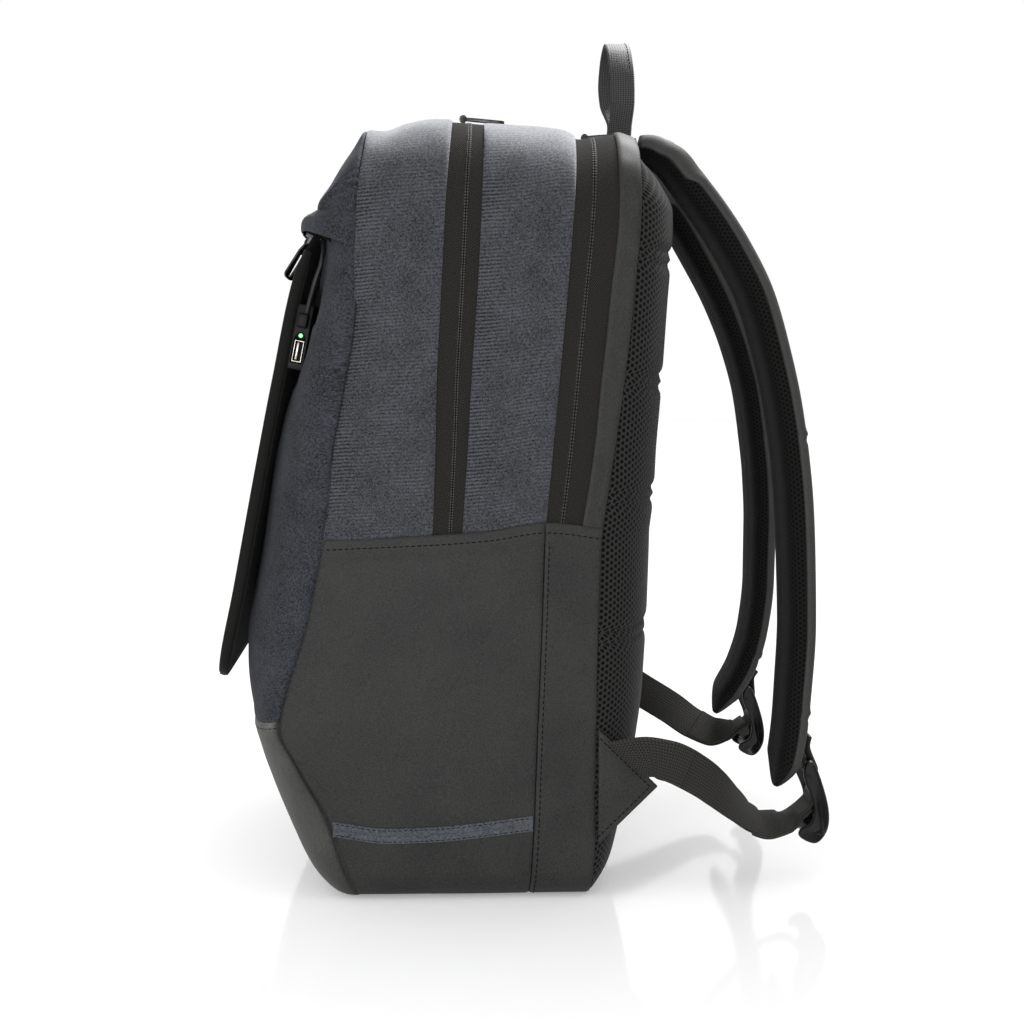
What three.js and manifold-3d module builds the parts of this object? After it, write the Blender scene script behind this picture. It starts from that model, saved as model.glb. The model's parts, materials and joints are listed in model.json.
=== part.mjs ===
// A laptop backpack that stands on its base, with a charging flap on its front.
// Millimetres, +Z up, front towards -Y, back and shoulder straps towards +Y, X across the bag.
import * as THREE from "three";
import { mergeVertices } from "three/addons/utils/BufferGeometryUtils.js";
import Module from "manifold-3d";

const wasm = await Module();
wasm.setup();

// Main sizes
const HALF_WIDTH = 144;
const TOP = 462;
const SHOULDER_RADIUS = 45;
const FOOT_RADIUS = 16;
const WALL = 2;
const GAP = 0.4;
const SIDE_PUFF = 5;
const CROWN_START = 380;
const HEM_MIDDLE = 225;
const BASE_EDGE = 3;

// Side seams by height: how far back each seam lies
const SEAMS = [
  { z: 0, front: -64, middle: 40, back: 77 },
  { z: 20, front: -73, middle: 41.5, back: 79.5 },
  { z: 49, front: -82.5, middle: 43, back: 80.6 },
  { z: 86, front: -102, middle: 44.3, back: 80.7 },
  { z: 106, front: -111, middle: 45, back: 80.7 },
  { z: 129, front: -106.5, middle: 46, back: 80.9 },
  { z: 165, front: -95.5, middle: 47.4, back: 81.5 },
  { z: 220, front: -83.4, middle: 49, back: 83.2 },
];
const UPPER_SEAMS = [
  { z: 220, front: -83.4, main_front: -17.5, main_rear: -0.6, laptop_front: 49.2, laptop_rear: 70, back: 83.2 },
  { z: 275, front: -79, main_front: -15.5, main_rear: 3.2, laptop_front: 54.2, laptop_rear: 78.4, back: 91.3 },
  { z: 312, front: -72.8, main_front: -14.6, main_rear: 5.2, laptop_front: 57.6, laptop_rear: 82, back: 96.4 },
  { z: 360, front: -64.6, main_front: -12.2, main_rear: 8.6, laptop_front: 61.8, laptop_rear: 87, back: 101.4 },
  { z: 420, front: -61.6, main_front: -8.6, main_rear: 12, laptop_front: 66.6, laptop_rear: 92.4, back: 106 },
  { z: 462, front: -56, main_front: -4.5, main_rear: 14, laptop_front: 69, laptop_rear: 92.4, back: 106 },
];
// Hem of the coated side panels: height by depth
const HEM = [
  { y: -84, z: 220 },
  { y: -17, z: 223.4 },
  { y: 16, z: 225.8 },
  { y: 49, z: 230.3 },
  { y: 84, z: 226 },
];
// Rise of the top surface above its nominal height, by depth
const CROWN = [
  { y: -58, rise: 0 },
  { y: -33, rise: 6 },
  { y: -13, rise: 8.5 },
  { y: 24, rise: 6 },
  { y: 60, rise: 2.4 },
  { y: 72, rise: -1.5 },
  { y: 94, rise: 1 },
  { y: 106, rise: -2 },
];
// Foremost face of the front by height
const FACE = [
  { z: 0, y: -87.5 },
  { z: 15, y: -99.4 },
  { z: 31, y: -107.8 },
  { z: 53, y: -117.6 },
  { z: 78, y: -125.6 },
  { z: 105, y: -131.7 },
  { z: 133, y: -135.8 },
  { z: 154, y: -136.5 },
  { z: 183, y: -132.1 },
  { z: 219, y: -124.8 },
  { z: 260, y: -114.4 },
  { z: 308, y: -101.2 },
  { z: 340, y: -91.8 },
  { z: 380, y: -86 },
  { z: 402, y: -84.6 },
  { z: 420, y: -88.4 },
  { z: 433, y: -80 },
  { z: 450, y: -68.6 },
  { z: 462, y: -58.4 },
];
const FRONT_SQUARENESS = 3.6;
const FRONT_ROUNDNESS = 2.1;
const FRONT_SEAM_HEIGHT = 104;
const FRONT_SEAM_LIFT = 7;
const UPPER_FRONT_EDGE = 420;
const FRONT_COLUMNS = 16;

// Hood over the pocket zip: height below its root and reach beyond the face, from root to lip
const HOOD = [
  { share: 0, drop: 0, reach: 0 },
  { share: 0.25, drop: 2.6, reach: 5.6 },
  { share: 0.5, drop: 5, reach: 11.4 },
  { share: 0.78, drop: 9.9, reach: 15.2 },
  { share: 1, drop: 15, reach: 16.6 },
];
const HOOD_SIDE_REACH = 2.8;
const HOOD_SIDE_DROP = 10;
const HOOD_FAN = 0.5;
const TAPE_WALL = 1.4;

// Quilted back pad: depth behind the back seam by height, and its stitched channels
const PAD = [
  { z: 3, depth: 8 },
  { z: 18, depth: 16.5 },
  { z: 36, depth: 21 },
  { z: 91, depth: 32.3 },
  { z: 120, depth: 36 },
  { z: 178, depth: 38 },
  { z: 231, depth: 37.5 },
  { z: 275, depth: 33.5 },
  { z: 344, depth: 29.5 },
  { z: 416, depth: 27.2 },
  { z: 430, depth: 20 },
  { z: 439, depth: 12.5 },
  { z: 446, depth: 3.4 },
  { z: 451, depth: 1.4 },
];
const CHANNELS = [387.5, 312.8, 242.8, 159.2];
const CHANNEL_BAND = 3.7;
const CHANNEL_DEPTH = 3.4;
const CHANNEL_HALF = 3.6;
const PAD_SQUARENESS = 4;
const PAD_ROUNDNESS = 2;
const PAD_THICK = 12;

// Flap: outer face and thickness by height
const FLAP = [
  { z: 391.5, y: -87.1, thick: 2.4 },
  { z: 387, y: -94.6, thick: 3.6 },
  { z: 381, y: -98.7, thick: 5.6 },
  { z: 314, y: -114, thick: 6 },
  { z: 260, y: -125, thick: 6 },
  { z: 219, y: -133, thick: 6 },
  { z: 183, y: -140, thick: 6 },
  { z: 150, y: -147, thick: 5.6 },
  { z: 131, y: -150, thick: 4.6 },
];
const FLAP_HALF = 110;
const FLAP_CORNER = 14;

// Charging box on the inner face of the flap
const BOX_HEIGHT = 40;
const BOX_THICK = 10;
const BOX_WIDTH = 30;
const BOX_MIDDLE = 342;
const SOCKET_LONG = 13.1;
const SOCKET_SHORT = 5.7;
const SOCKET_DEPTH = 9;
const SOCKET_WALL = 0.5;
const SOCKET_DROP = 8.6;
const LED_RISE = 1;
const LED_RADIUS = 1.3;
const PLUG_RISE = 10.2;
const PLUG_SIZE = [9, 6.4, 9];
const CABLE_RADIUS = 1.4;
const CABLE_ROUTE = [
  { x: 113.8, y: -92.9, z: 354.1 },
  { x: 115, y: -91, z: 361 },
  { x: 117.5, y: -87, z: 374 },
  { x: 117, y: -83.6, z: 384 },
  { x: 113.5, y: -82.4, z: 392 },
  { x: 108.6, y: -82.4, z: 397.4 },
];

// Shoulder strap: centre line, width and thickness from the yoke to the tip.
// The left one sways back by the last column.
const STRAP = [
  { x: 62, y: 112.5, z: 456.8, wide: 62, thick: 12, sway: 0 },
  { x: 63.5, y: 127.5, z: 451.4, wide: 62, thick: 15, sway: 0 },
  { x: 66, y: 148.4, z: 427.6, wide: 62, thick: 17.5, sway: 0.7 },
  { x: 71, y: 170.4, z: 394, wide: 62, thick: 18, sway: 0.4 },
  { x: 77, y: 184.2, z: 364.4, wide: 62, thick: 17.5, sway: 3 },
  { x: 84, y: 193, z: 332, wide: 61, thick: 17, sway: 8 },
  { x: 89, y: 199.6, z: 300, wide: 60, thick: 17, sway: 11 },
  { x: 94, y: 203.8, z: 268, wide: 60, thick: 16.8, sway: 12.4 },
  { x: 98, y: 206.2, z: 238, wide: 60, thick: 16.8, sway: 14 },
  { x: 101, y: 207.6, z: 203, wide: 59, thick: 16.5, sway: 14.5 },
  { x: 104, y: 208.2, z: 163, wide: 58, thick: 16, sway: 14 },
  { x: 106, y: 206.2, z: 125, wide: 56, thick: 15.5, sway: 12.4 },
  { x: 107, y: 204, z: 97, wide: 53, thick: 15, sway: 6.5 },
  { x: 108, y: 200, z: 74, wide: 48, thick: 13.5, sway: -2 },
  { x: 108, y: 196, z: 60, wide: 38, thick: 10, sway: -4 },
];
const STRAP_COVER_WALL = 1.6;
const STRAP_STATIONS = 20;

// Webbing from each wing to its buckle: twist is 0 on edge and 90 or -90 lying flat across the bag
const WEB_WIDTH = 25;
const WEB_THICK = 1.8;
const LOWER_WEBS = {
  right: [
    { x: 147.2, y: 98, z: 86.4, twist: 0 },
    { x: 146.6, y: 110, z: 87.6, twist: 0 },
    { x: 145.4, y: 124.3, z: 85, twist: -5 },
    { x: 141, y: 144.1, z: 74.2, twist: -25 },
    { x: 136, y: 155, z: 65.3, twist: -36 },
    { x: 129.5, y: 167.5, z: 53.5, twist: -52 },
    { x: 123.5, y: 179.2, z: 43.2, twist: -62 },
    { x: 117, y: 191, z: 38.2, twist: -66 },
    { x: 110.5, y: 202.4, z: 38.8, twist: -76 },
    { x: 108, y: 210.2, z: 43.4, twist: -90 },
    { x: 108, y: 217.6, z: 51, twist: -90 },
    { x: 108, y: 218, z: 54.7, twist: -90 },
    { x: 108, y: 220.6, z: 56.9, twist: -90 },
    { x: 108, y: 224, z: 56.7, twist: -90 },
  ],
  left: [
    { x: 147.2, y: 98, z: 84.4, twist: 0 },
    { x: 146.6, y: 110, z: 85, twist: 0 },
    { x: 145.9, y: 124.3, z: 80, twist: 1 },
    { x: 140.5, y: 142.7, z: 69.5, twist: 10 },
    { x: 133, y: 162, z: 58.4, twist: 18 },
    { x: 125, y: 178, z: 48, twist: 30 },
    { x: 116.5, y: 192.6, z: 42.6, twist: 48 },
    { x: 110.5, y: 203, z: 44.6, twist: 74 },
    { x: 108, y: 209.6, z: 48.8, twist: 90 },
    { x: 108, y: 217.1, z: 54.6, twist: 90 },
    { x: 108, y: 217.5, z: 58.3, twist: 90 },
    { x: 108, y: 220.1, z: 60.5, twist: 90 },
    { x: 108, y: 223.5, z: 60.3, twist: 90 },
  ],
};
// Short webbing from the strap cover down round the top bar of the buckle and back up
const LOOP_HEIGHTS = { down: [99, 92, 85], up: [87, 93] };
const LOOP_SPREAD = 3.2;
const WING = [
  { y: 81.6, z: 105 },
  { y: 118, z: 69 },
  { y: 81.6, z: 34 },
];
const WING_WALL = 2.4;
const WING_LEAN = 0.06;

// Ladder lock buckle: side plate outline and cross bars, seen from the side, and where the left one hangs
const BUCKLE_PLATE = [
  { y: 212.8, z: 77.9 },
  { y: 218.3, z: 76.4 },
  { y: 226.3, z: 52.4 },
  { y: 226.8, z: 36.4 },
  { y: 219.8, z: 26.9 },
  { y: 209.8, z: 30.4 },
  { y: 209.3, z: 35.4 },
  { y: 216.8, z: 40.4 },
  { y: 217.3, z: 52.4 },
  { y: 211.3, z: 68.4 },
];
const BUCKLE_BARS = [
  { y: 216.4, z: 72.8, radius: 2.4 },
  { y: 222, z: 52.9, radius: 2.6 },
  { y: 214.8, z: 32.4, radius: 2.4 },
];
const BUCKLE_SHIFT = { right: { y: 0, z: 0 }, left: { y: -0.5, z: 3.6 } };
const BUCKLE_HALF = 17;
const BUCKLE_PLATE_WALL = 3;
const BUCKLE_X = 108;

// Carry handle: half of the webbing loop from its foot to its crown
const HANDLE = [
  { x: 20, y: 105.4, z: 463, turn: 48 },
  { x: 21.5, y: 104.8, z: 478, turn: 40 },
  { x: 25, y: 104.2, z: 492, turn: 14 },
  { x: 25, y: 104.2, z: 509, turn: 0 },
  { x: 17, y: 104.2, z: 525, turn: 0 },
  { x: 0, y: 104.2, z: 531.4, turn: 0 },
];
const HANDLE_WIDTH = 17.4;
const HANDLE_THICK = 2.6;

// Stripe across each coated side panel: lower edge by depth
const STRIPE = [
  { y: -76, z: 40 },
  { y: -46, z: 36.3 },
  { y: -19, z: 37.3 },
  { y: 41, z: 43 },
];
const STRIPE_WIDE = 9.2;
const STRIPE_WALL = 0.6;

// Zip sliders and pull tabs: hinge place, mounting direction and rest angle from +Y towards +Z
const PULL_LENGTH = 26;
const PULL_HALF = 3.4;
const PULL_THICK = 1.8;
const PULL_RIM = 1.7;
const KNUCKLE_RADIUS = 2.4;
const PIN_RADIUS = 0.9;
const PIN_PLAY = 0.5;
const ZIPS = [
  { name: "main", x: 62, y: 2.2, z: 475.8, mount: -90, rest: -5 },
  { name: "laptop", x: 36, y: 80.6, z: 467.6, mount: -90, rest: 4 },
  { name: "pocket_right", x: 82, y: -93.2, z: 397.9, mount: 62.8, rest: -123 },
  { name: "pocket_left", x: 60, y: -95.1, z: 398.4, mount: 65.2, rest: -120 },
];
const SLIDER_SIZE = [9, 7, 1.8];
const PIN_HEIGHT = 3.6;

// Material slots
const LOOKS = {
  front_fabric: { color: 0x3a414d, roughness: 0.85, metalness: 0 },
  side_fabric: { color: 0x474c56, roughness: 0.88, metalness: 0 },
  coated: { color: 0x343635, roughness: 0.6, metalness: 0 },
  zip_tape: { color: 0x221f1d, roughness: 0.85, metalness: 0 },
  air_mesh: { color: 0x1c1c1b, roughness: 0.9, metalness: 0 },
  webbing: { color: 0x262523, roughness: 0.8, metalness: 0 },
  flap_fabric: { color: 0x1d1d1d, roughness: 0.75, metalness: 0 },
  black_plastic: { color: 0x111213, roughness: 0.35, metalness: 0 },
  cable_rubber: { color: 0x4a4a4a, roughness: 0.6, metalness: 0 },
  gunmetal: { color: 0x3a3a3c, roughness: 0.35, metalness: 0.9 },
  steel: { color: 0xb9b7b0, roughness: 0.3, metalness: 1 },
  green_light: { color: 0x2be06a, roughness: 0.4, metalness: 0 },
};

const SIDES = [
  { side: 1, tag: "right" },
  { side: -1, tag: "left" },
];

// Smooth value of one column of a table, without overshoot between its rows
function read(rows, key, column, value) {
  const rising = rows[0][key] < rows[rows.length - 1][key];
  const list = rising ? rows : [...rows].reverse();
  const last = list.length - 1;
  if (value <= list[0][key]) return list[0][column];
  if (value >= list[last][key]) return list[last][column];
  let i = 0;
  while (value > list[i + 1][key]) i += 1;
  const rise = (k) => (list[k + 1][column] - list[k][column]) / (list[k + 1][key] - list[k][key]);
  const slope = (k) => {
    if (k === 0) return rise(0);
    if (k === last) return rise(last - 1);
    const before = rise(k - 1);
    const after = rise(k);
    return before * after <= 0 ? 0 : (2 * before * after) / (before + after);
  };
  const span = list[i + 1][key] - list[i][key];
  const t = (value - list[i][key]) / span;
  const s = 1 - t;
  const ends = s * s * (1 + 2 * t) * list[i][column] + t * t * (3 - 2 * t) * list[i + 1][column];
  return ends + span * t * s * (s * slope(i) - t * slope(i + 1));
}

// Smooth step from 0 to 1
function ease(t) {
  const c = THREE.MathUtils.clamp(t, 0, 1);
  return c * c * (3 - 2 * c);
}

// Depth of a side seam at a height
function seam(name, z) {
  const low = name in SEAMS[0] && (z < UPPER_SEAMS[0].z || !(name in UPPER_SEAMS[0]));
  const rows = low ? SEAMS : UPPER_SEAMS;
  return read(rows, "z", name, z);
}

const FOOT_ARC = (FOOT_RADIUS * Math.PI) / 2;
const SHOULDER_ARC = (SHOULDER_RADIUS * Math.PI) / 2;
const STRAIGHT = TOP - SHOULDER_RADIUS - FOOT_RADIUS;
const ROUND_LENGTH = FOOT_ARC + STRAIGHT + SHOULDER_ARC + HALF_WIDTH - SHOULDER_RADIUS;

// Path from the base edge up one side and over to the middle of the top
function roundPath(run) {
  if (run < FOOT_ARC) {
    const turn = run / FOOT_RADIUS;
    return { x: HALF_WIDTH - FOOT_RADIUS * (1 - Math.sin(turn)), z: FOOT_RADIUS * (1 - Math.cos(turn)) };
  }
  const up = run - FOOT_ARC;
  if (up < STRAIGHT) return { x: HALF_WIDTH, z: FOOT_RADIUS + up };
  const over = up - STRAIGHT;
  if (over < SHOULDER_ARC) {
    const turn = over / SHOULDER_RADIUS;
    const x = HALF_WIDTH - SHOULDER_RADIUS * (1 - Math.cos(turn));
    return { x, z: TOP - SHOULDER_RADIUS * (1 - Math.sin(turn)) };
  }
  return { x: HALF_WIDTH - SHOULDER_RADIUS - (over - SHOULDER_ARC), z: TOP };
}

// Run along that path at which a height on the straight part is reached
function runAt(z) {
  return FOOT_ARC + z - FOOT_RADIUS;
}

// Half width of the bag at a height
function halfAt(z) {
  if (z < FOOT_RADIUS) return HALF_WIDTH - FOOT_RADIUS + Math.sqrt(FOOT_RADIUS ** 2 - (FOOT_RADIUS - z) ** 2);
  const above = Math.max(0, z - (TOP - SHOULDER_RADIUS));
  return HALF_WIDTH - SHOULDER_RADIUS + Math.sqrt(Math.max(0, SHOULDER_RADIUS ** 2 - above ** 2));
}

// Point of the stuffed side and top surface
function skin(y, run, side) {
  const { x, z } = roundPath(run);
  const front = seam("front", z);
  const share = THREE.MathUtils.clamp((y - front) / (seam("back", z) - front), 0, 1);
  const fade = ease(z / 60) * ease((TOP - z) / 90);
  const puff = SIDE_PUFF * Math.sin(Math.PI * share) * fade;
  const crown = read(CROWN, "y", "rise", y) * ease((z - CROWN_START) / (TOP - CROWN_START));
  return new THREE.Vector3(side * (x + puff), y, z + crown);
}

// Point of the front surface: across runs from -1 at the left seam to 1 at the right one
function frontContour(z) {
  const half = halfAt(z) + GAP / 2;
  const start = seam("front", z) - GAP;
  const reach = start - read(FACE, "z", "y", z);
  const points = [];
  const steps = 96;
  for (let k = 0; k <= steps; k += 1) {
    const turn = (k / steps) * (Math.PI / 2);
    const x = half * Math.sin(turn) ** (2 / FRONT_SQUARENESS);
    const y = start - reach * Math.cos(turn) ** (2 / FRONT_ROUNDNESS);
    const run = k === 0 ? 0 : points[k - 1].run + Math.hypot(x - points[k - 1].x, y - points[k - 1].y);
    points.push({ x, y, run });
  }
  return points;
}
function frontPoint(across, z, reach = 0) {
  const points = frontContour(z);
  const run = Math.abs(across) * points[points.length - 1].run;
  const x = read(points, "run", "x", run);
  const y = read(points, "run", "y", run);
  return new THREE.Vector3(Math.sign(across) * x, y - reach, z);
}

// Closed body between two grids of points that share their size
function bodyBetween(outer, inner) {
  const columns = outer.length;
  const rows = outer[0].length;
  const positions = [];
  const at = (grid, i, j) => (grid * columns + i) * rows + j;
  for (const grid of [outer, inner]) {
    for (const line of grid) {
      for (const point of line) positions.push(point.x, point.y, point.z);
    }
  }
  const faces = [];
  const quad = (a, b, c, d) => faces.push(a, b, c, a, c, d);
  for (let i = 0; i < columns - 1; i += 1) {
    for (let j = 0; j < rows - 1; j += 1) {
      quad(at(0, i, j), at(0, i + 1, j), at(0, i + 1, j + 1), at(0, i, j + 1));
      quad(at(1, i, j), at(1, i, j + 1), at(1, i + 1, j + 1), at(1, i + 1, j));
    }
    quad(at(0, i + 1, 0), at(0, i, 0), at(1, i, 0), at(1, i + 1, 0));
    quad(at(0, i, rows - 1), at(0, i + 1, rows - 1), at(1, i + 1, rows - 1), at(1, i, rows - 1));
  }
  for (let j = 0; j < rows - 1; j += 1) {
    quad(at(0, 0, j), at(0, 0, j + 1), at(1, 0, j + 1), at(1, 0, j));
    quad(at(0, columns - 1, j + 1), at(0, columns - 1, j), at(1, columns - 1, j), at(1, columns - 1, j + 1));
  }
  return facingOut(positions, faces);
}

// Geometry from positions and faces, turned so that it encloses a positive volume
function facingOut(positions, faces) {
  const point = (k) => new THREE.Vector3().fromArray(positions, 3 * k);
  let volume = 0;
  for (let k = 0; k < faces.length; k += 3) {
    volume += point(faces[k]).dot(point(faces[k + 1]).cross(point(faces[k + 2])));
  }
  const order = volume > 0 ? faces : [...faces].reverse();
  const geometry = new THREE.BufferGeometry();
  geometry.setAttribute("position", new THREE.Float32BufferAttribute(positions, 3));
  geometry.setIndex(order);
  return geometry;
}

// Cloth wall of a surface that takes two shares from 0 to 1; outward points away from the inside point
function wall(surface, columns, rows, thick, inside) {
  const outer = [];
  const inner = [];
  const step = 1e-3;
  for (let i = 0; i <= columns; i += 1) {
    outer.push([]);
    inner.push([]);
    for (let j = 0; j <= rows; j += 1) {
      const u = i / columns;
      const v = j / rows;
      const point = surface(u, v);
      const alongU = surface(Math.min(1, u + step), v).sub(surface(Math.max(0, u - step), v));
      const alongV = surface(u, Math.min(1, v + step)).sub(surface(u, Math.max(0, v - step)));
      const normal = alongU.cross(alongV).normalize();
      if (normal.dot(inside(point).sub(point)) > 0) normal.negate();
      const depth = typeof thick === "function" ? thick(u, v) : thick;
      outer[i].push(point);
      inner[i].push(point.clone().addScaledVector(normal, -depth));
    }
  }
  return bodyBetween(outer, inner);
}

// A point well inside the bag, level with the wall point
const coreOf = (point) => new THREE.Vector3(0, 10, THREE.MathUtils.clamp(point.z, 60, 400));

// Closed body through a row of outlines with equal point counts, with flat ends
function loft(outlines) {
  const count = outlines[0].length;
  const positions = [];
  for (const outline of outlines) {
    for (const point of outline) positions.push(point.x, point.y, point.z);
  }
  const faces = [];
  for (let i = 0; i < outlines.length - 1; i += 1) {
    for (let k = 0; k < count; k += 1) {
      const next = (k + 1) % count;
      const a = i * count + k;
      const b = i * count + next;
      faces.push(a, b, b + count, a, b + count, a + count);
    }
  }
  const end = (outlines.length - 1) * count;
  for (let k = 1; k < count - 1; k += 1) {
    faces.push(0, k + 1, k);
    faces.push(end, end + k, end + k + 1);
  }
  return facingOut(positions, faces);
}

// Station on a line through table rows: point, direction and any other columns
function stations(rows, count, columns) {
  const named = rows.map((row, k) => ({ ...row, k }));
  const pick = (t) => {
    const k = t * (rows.length - 1);
    return new THREE.Vector3(
      read(named, "k", "x", k),
      read(named, "k", "y", k),
      read(named, "k", "z", k),
    );
  };
  const list = [];
  for (let i = 0; i <= count; i += 1) {
    const t = i / count;
    const point = pick(t);
    const direction = pick(Math.min(1, t + 1e-3)).sub(pick(Math.max(0, t - 1e-3))).normalize();
    const station = { point, direction, t };
    for (const column of columns) station[column] = read(named, "k", column, t * (rows.length - 1));
    list.push(station);
  }
  return list;
}

// Flat webbing along stations that each give an across direction
function webbing(list, width, thick, across) {
  const outlines = list.map((station) => {
    const wide = across(station).normalize();
    const flat = new THREE.Vector3().crossVectors(station.direction, wide).normalize();
    return [[-1, -1], [1, -1], [1, 1], [-1, 1]].map(([w, t]) =>
      station.point.clone().addScaledVector(wide, (w * width) / 2).addScaledVector(flat, (t * thick) / 2));
  });
  return loft(outlines);
}

// Turn a geometry into a solid and back for cutting and joining
function solid(geometry) {
  const bare = new THREE.BufferGeometry();
  bare.setAttribute("position", geometry.getAttribute("position").clone());
  if (geometry.index) bare.setIndex(geometry.index.clone());
  const merged = mergeVertices(bare, 1e-4);
  return new wasm.Manifold(new wasm.Mesh({
    numProp: 3,
    vertProperties: Float32Array.from(merged.getAttribute("position").array),
    triVerts: Uint32Array.from(merged.index.array),
  }));
}
function shape(body) {
  const mesh = body.getMesh();
  const geometry = new THREE.BufferGeometry();
  geometry.setAttribute("position", new THREE.Float32BufferAttribute(mesh.vertProperties, 3));
  geometry.setIndex(Array.from(mesh.triVerts));
  return geometry;
}
function join(...geometries) {
  return shape(wasm.Manifold.union(geometries.map(solid)));
}
function cut(geometry, ...tools) {
  return shape(solid(geometry).subtract(wasm.Manifold.union(tools.map(solid))));
}

// Prism of an outline drawn in Y and Z, running along X between two places
function sidePrism(outline, from, to, holes = []) {
  const flat = new THREE.Shape(outline.map(({ y, z }) => new THREE.Vector2(y, z)));
  for (const hole of holes) flat.holes.push(new THREE.Path(hole.map(({ y, z }) => new THREE.Vector2(y, z))));
  const prism = new THREE.ExtrudeGeometry(flat, { depth: to - from, bevelEnabled: false });
  const axes = new THREE.Matrix4().makeBasis(
    new THREE.Vector3(0, 1, 0),
    new THREE.Vector3(0, 0, 1),
    new THREE.Vector3(1, 0, 0),
  );
  return prism.applyMatrix4(axes).translate(from, 0, 0);
}

// Rounded outline of a circle in Y and Z
function ring(y, z, radius, count) {
  return Array.from({ length: count }, (unused, k) => ({
    y: y + radius * Math.cos((2 * Math.PI * k) / count),
    z: z + radius * Math.sin((2 * Math.PI * k) / count),
  }));
}

const bag = new THREE.Group();
bag.name = "backpack";
function add(name, slot, geometry) {
  const material = new THREE.MeshStandardMaterial(LOOKS[slot]);
  material.name = slot;
  const bare = new THREE.BufferGeometry();
  bare.setAttribute("position", geometry.getAttribute("position").clone());
  if (geometry.index) bare.setIndex(geometry.index.clone());
  const mesh = new THREE.Mesh(mergeVertices(bare, 1e-4), material);
  mesh.name = name;
  bag.add(mesh);
}

// Bands that run up one side, over the top and down the other
const BANDS = [
  { name: "front_gusset", slot: "side_fabric", from: "front", to: "main_front", inset: 1.7, columns: 3 },
  { name: "main_zip_tape", slot: "zip_tape", from: "main_front", to: "main_rear", inset: 0, columns: 2 },
  { name: "middle_gusset", slot: "side_fabric", from: "main_rear", to: "laptop_front", inset: 0, columns: 3 },
  { name: "laptop_zip_tape", slot: "zip_tape", from: "laptop_front", to: "laptop_rear", inset: 0, columns: 2 },
  { name: "back_edge", slot: "coated", from: "laptop_rear", to: "back", inset: 0, columns: 2 },
];
const BAND_ROWS = 30;
for (const band of BANDS) {
  const surface = (u, v) => {
    const side = v < 0.5 ? 1 : -1;
    const climb = 1 - Math.abs(2 * v - 1);
    const low = THREE.MathUtils.lerp(seam(band.from, HEM_MIDDLE), seam(band.to, HEM_MIDDLE), u);
    const start = runAt(read(HEM, "y", "z", low) + GAP);
    const run = THREE.MathUtils.lerp(start, ROUND_LENGTH, climb);
    const { z } = roundPath(run);
    const near = seam(band.from, z) + GAP / 2 + band.inset * ease((z - TOP + 80) / 60);
    const far = seam(band.to, z) - GAP / 2;
    return skin(THREE.MathUtils.lerp(near, far, u), run, side);
  };
  add(band.name, band.slot, wall(surface, band.columns, BAND_ROWS, WALL, coreOf));
}

// Coated lower panels of each side, with the stripe
const LOWER_PANELS = [
  { name: "side_panel", from: "front", to: "middle", inset: 1.4, columns: 5, rows: 12 },
  { name: "rear_panel", from: "middle", to: "back", inset: 0, columns: 2, rows: 12 },
];
for (const { side, tag } of SIDES) {
  for (const panel of LOWER_PANELS) {
    const surface = (u, v) => {
      const low = THREE.MathUtils.lerp(seam(panel.from, HEM_MIDDLE - 10), seam(panel.to, HEM_MIDDLE - 10), u);
      const run = runAt(read(HEM, "y", "z", low)) * v;
      const { z } = roundPath(run);
      const near = seam(panel.from, z) + GAP / 2 + panel.inset;
      return skin(THREE.MathUtils.lerp(near, seam(panel.to, z) - GAP / 2, u), run, side);
    };
    add(`${panel.name}_${tag}`, "coated", wall(surface, panel.columns, panel.rows, WALL, coreOf));
  }
  const stripe = (u, v) => {
    const y = THREE.MathUtils.lerp(-76, 40, u);
    const run = runAt(read(STRIPE, "y", "z", y) + STRIPE_WIDE * v);
    const point = skin(y, run, side);
    point.x += side * (STRIPE_WALL + GAP);
    return point;
  };
  add(`side_stripe_${tag}`, "front_fabric", wall(stripe, 8, 1, STRIPE_WALL, coreOf));
}

// Flat base
const base = (u, v) => {
  const half = HALF_WIDTH - FOOT_RADIUS - GAP;
  const x = THREE.MathUtils.lerp(-half, half, u);
  const contour = frontContour(0);
  const front = read(contour, "x", "y", Math.abs(x)) + BASE_EDGE;
  return new THREE.Vector3(x, THREE.MathUtils.lerp(front, seam("back", 0) - GAP, v), 0);
};
add("bottom", "coated", wall(base, 12, 2, WALL, coreOf));

// Front panels, the hood and the zip tape under it
const lipAt = (across) => {
  const dip = HOOD_SIDE_DROP * Math.abs(across) ** 5;
  return UPPER_FRONT_EDGE - HOOD[HOOD.length - 1].drop - dip;
};
const frontSeam = (across) => FRONT_SEAM_HEIGHT + FRONT_SEAM_LIFT * across ** 4;
const FRONT_PANELS = [
  {
    name: "front_upper",
    slot: "front_fabric",
    low: () => UPPER_FRONT_EDGE + GAP / 2,
    high: () => TOP - 1,
    rows: 4,
  },
  {
    name: "front_pocket",
    slot: "front_fabric",
    low: (across) => frontSeam(across) + GAP / 2,
    high: (across) => lipAt(across) - 5.6,
    rows: 13,
  },
  { name: "front_lower", slot: "coated", low: () => 0, high: (across) => frontSeam(across) - GAP / 2, rows: 6 },
];
for (const panel of FRONT_PANELS) {
  const surface = (u, v) => {
    const across = 2 * u - 1;
    return frontPoint(across, THREE.MathUtils.lerp(panel.low(across), panel.high(across), v));
  };
  add(panel.name, panel.slot, wall(surface, FRONT_COLUMNS, panel.rows, WALL, coreOf));
}
const hoodReach = (across, share) => {
  const full = read(HOOD, "share", "reach", share);
  const side = HOOD_SIDE_REACH * ease(share / 0.25);
  return THREE.MathUtils.lerp(full, side, Math.abs(across) ** 6);
};
const outwardFrom = (across, z) => {
  const point = frontPoint(across, z);
  return new THREE.Vector3(HOOD_FAN * point.x, point.y - seam("front", z) - 40, 0).normalize();
};
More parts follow.
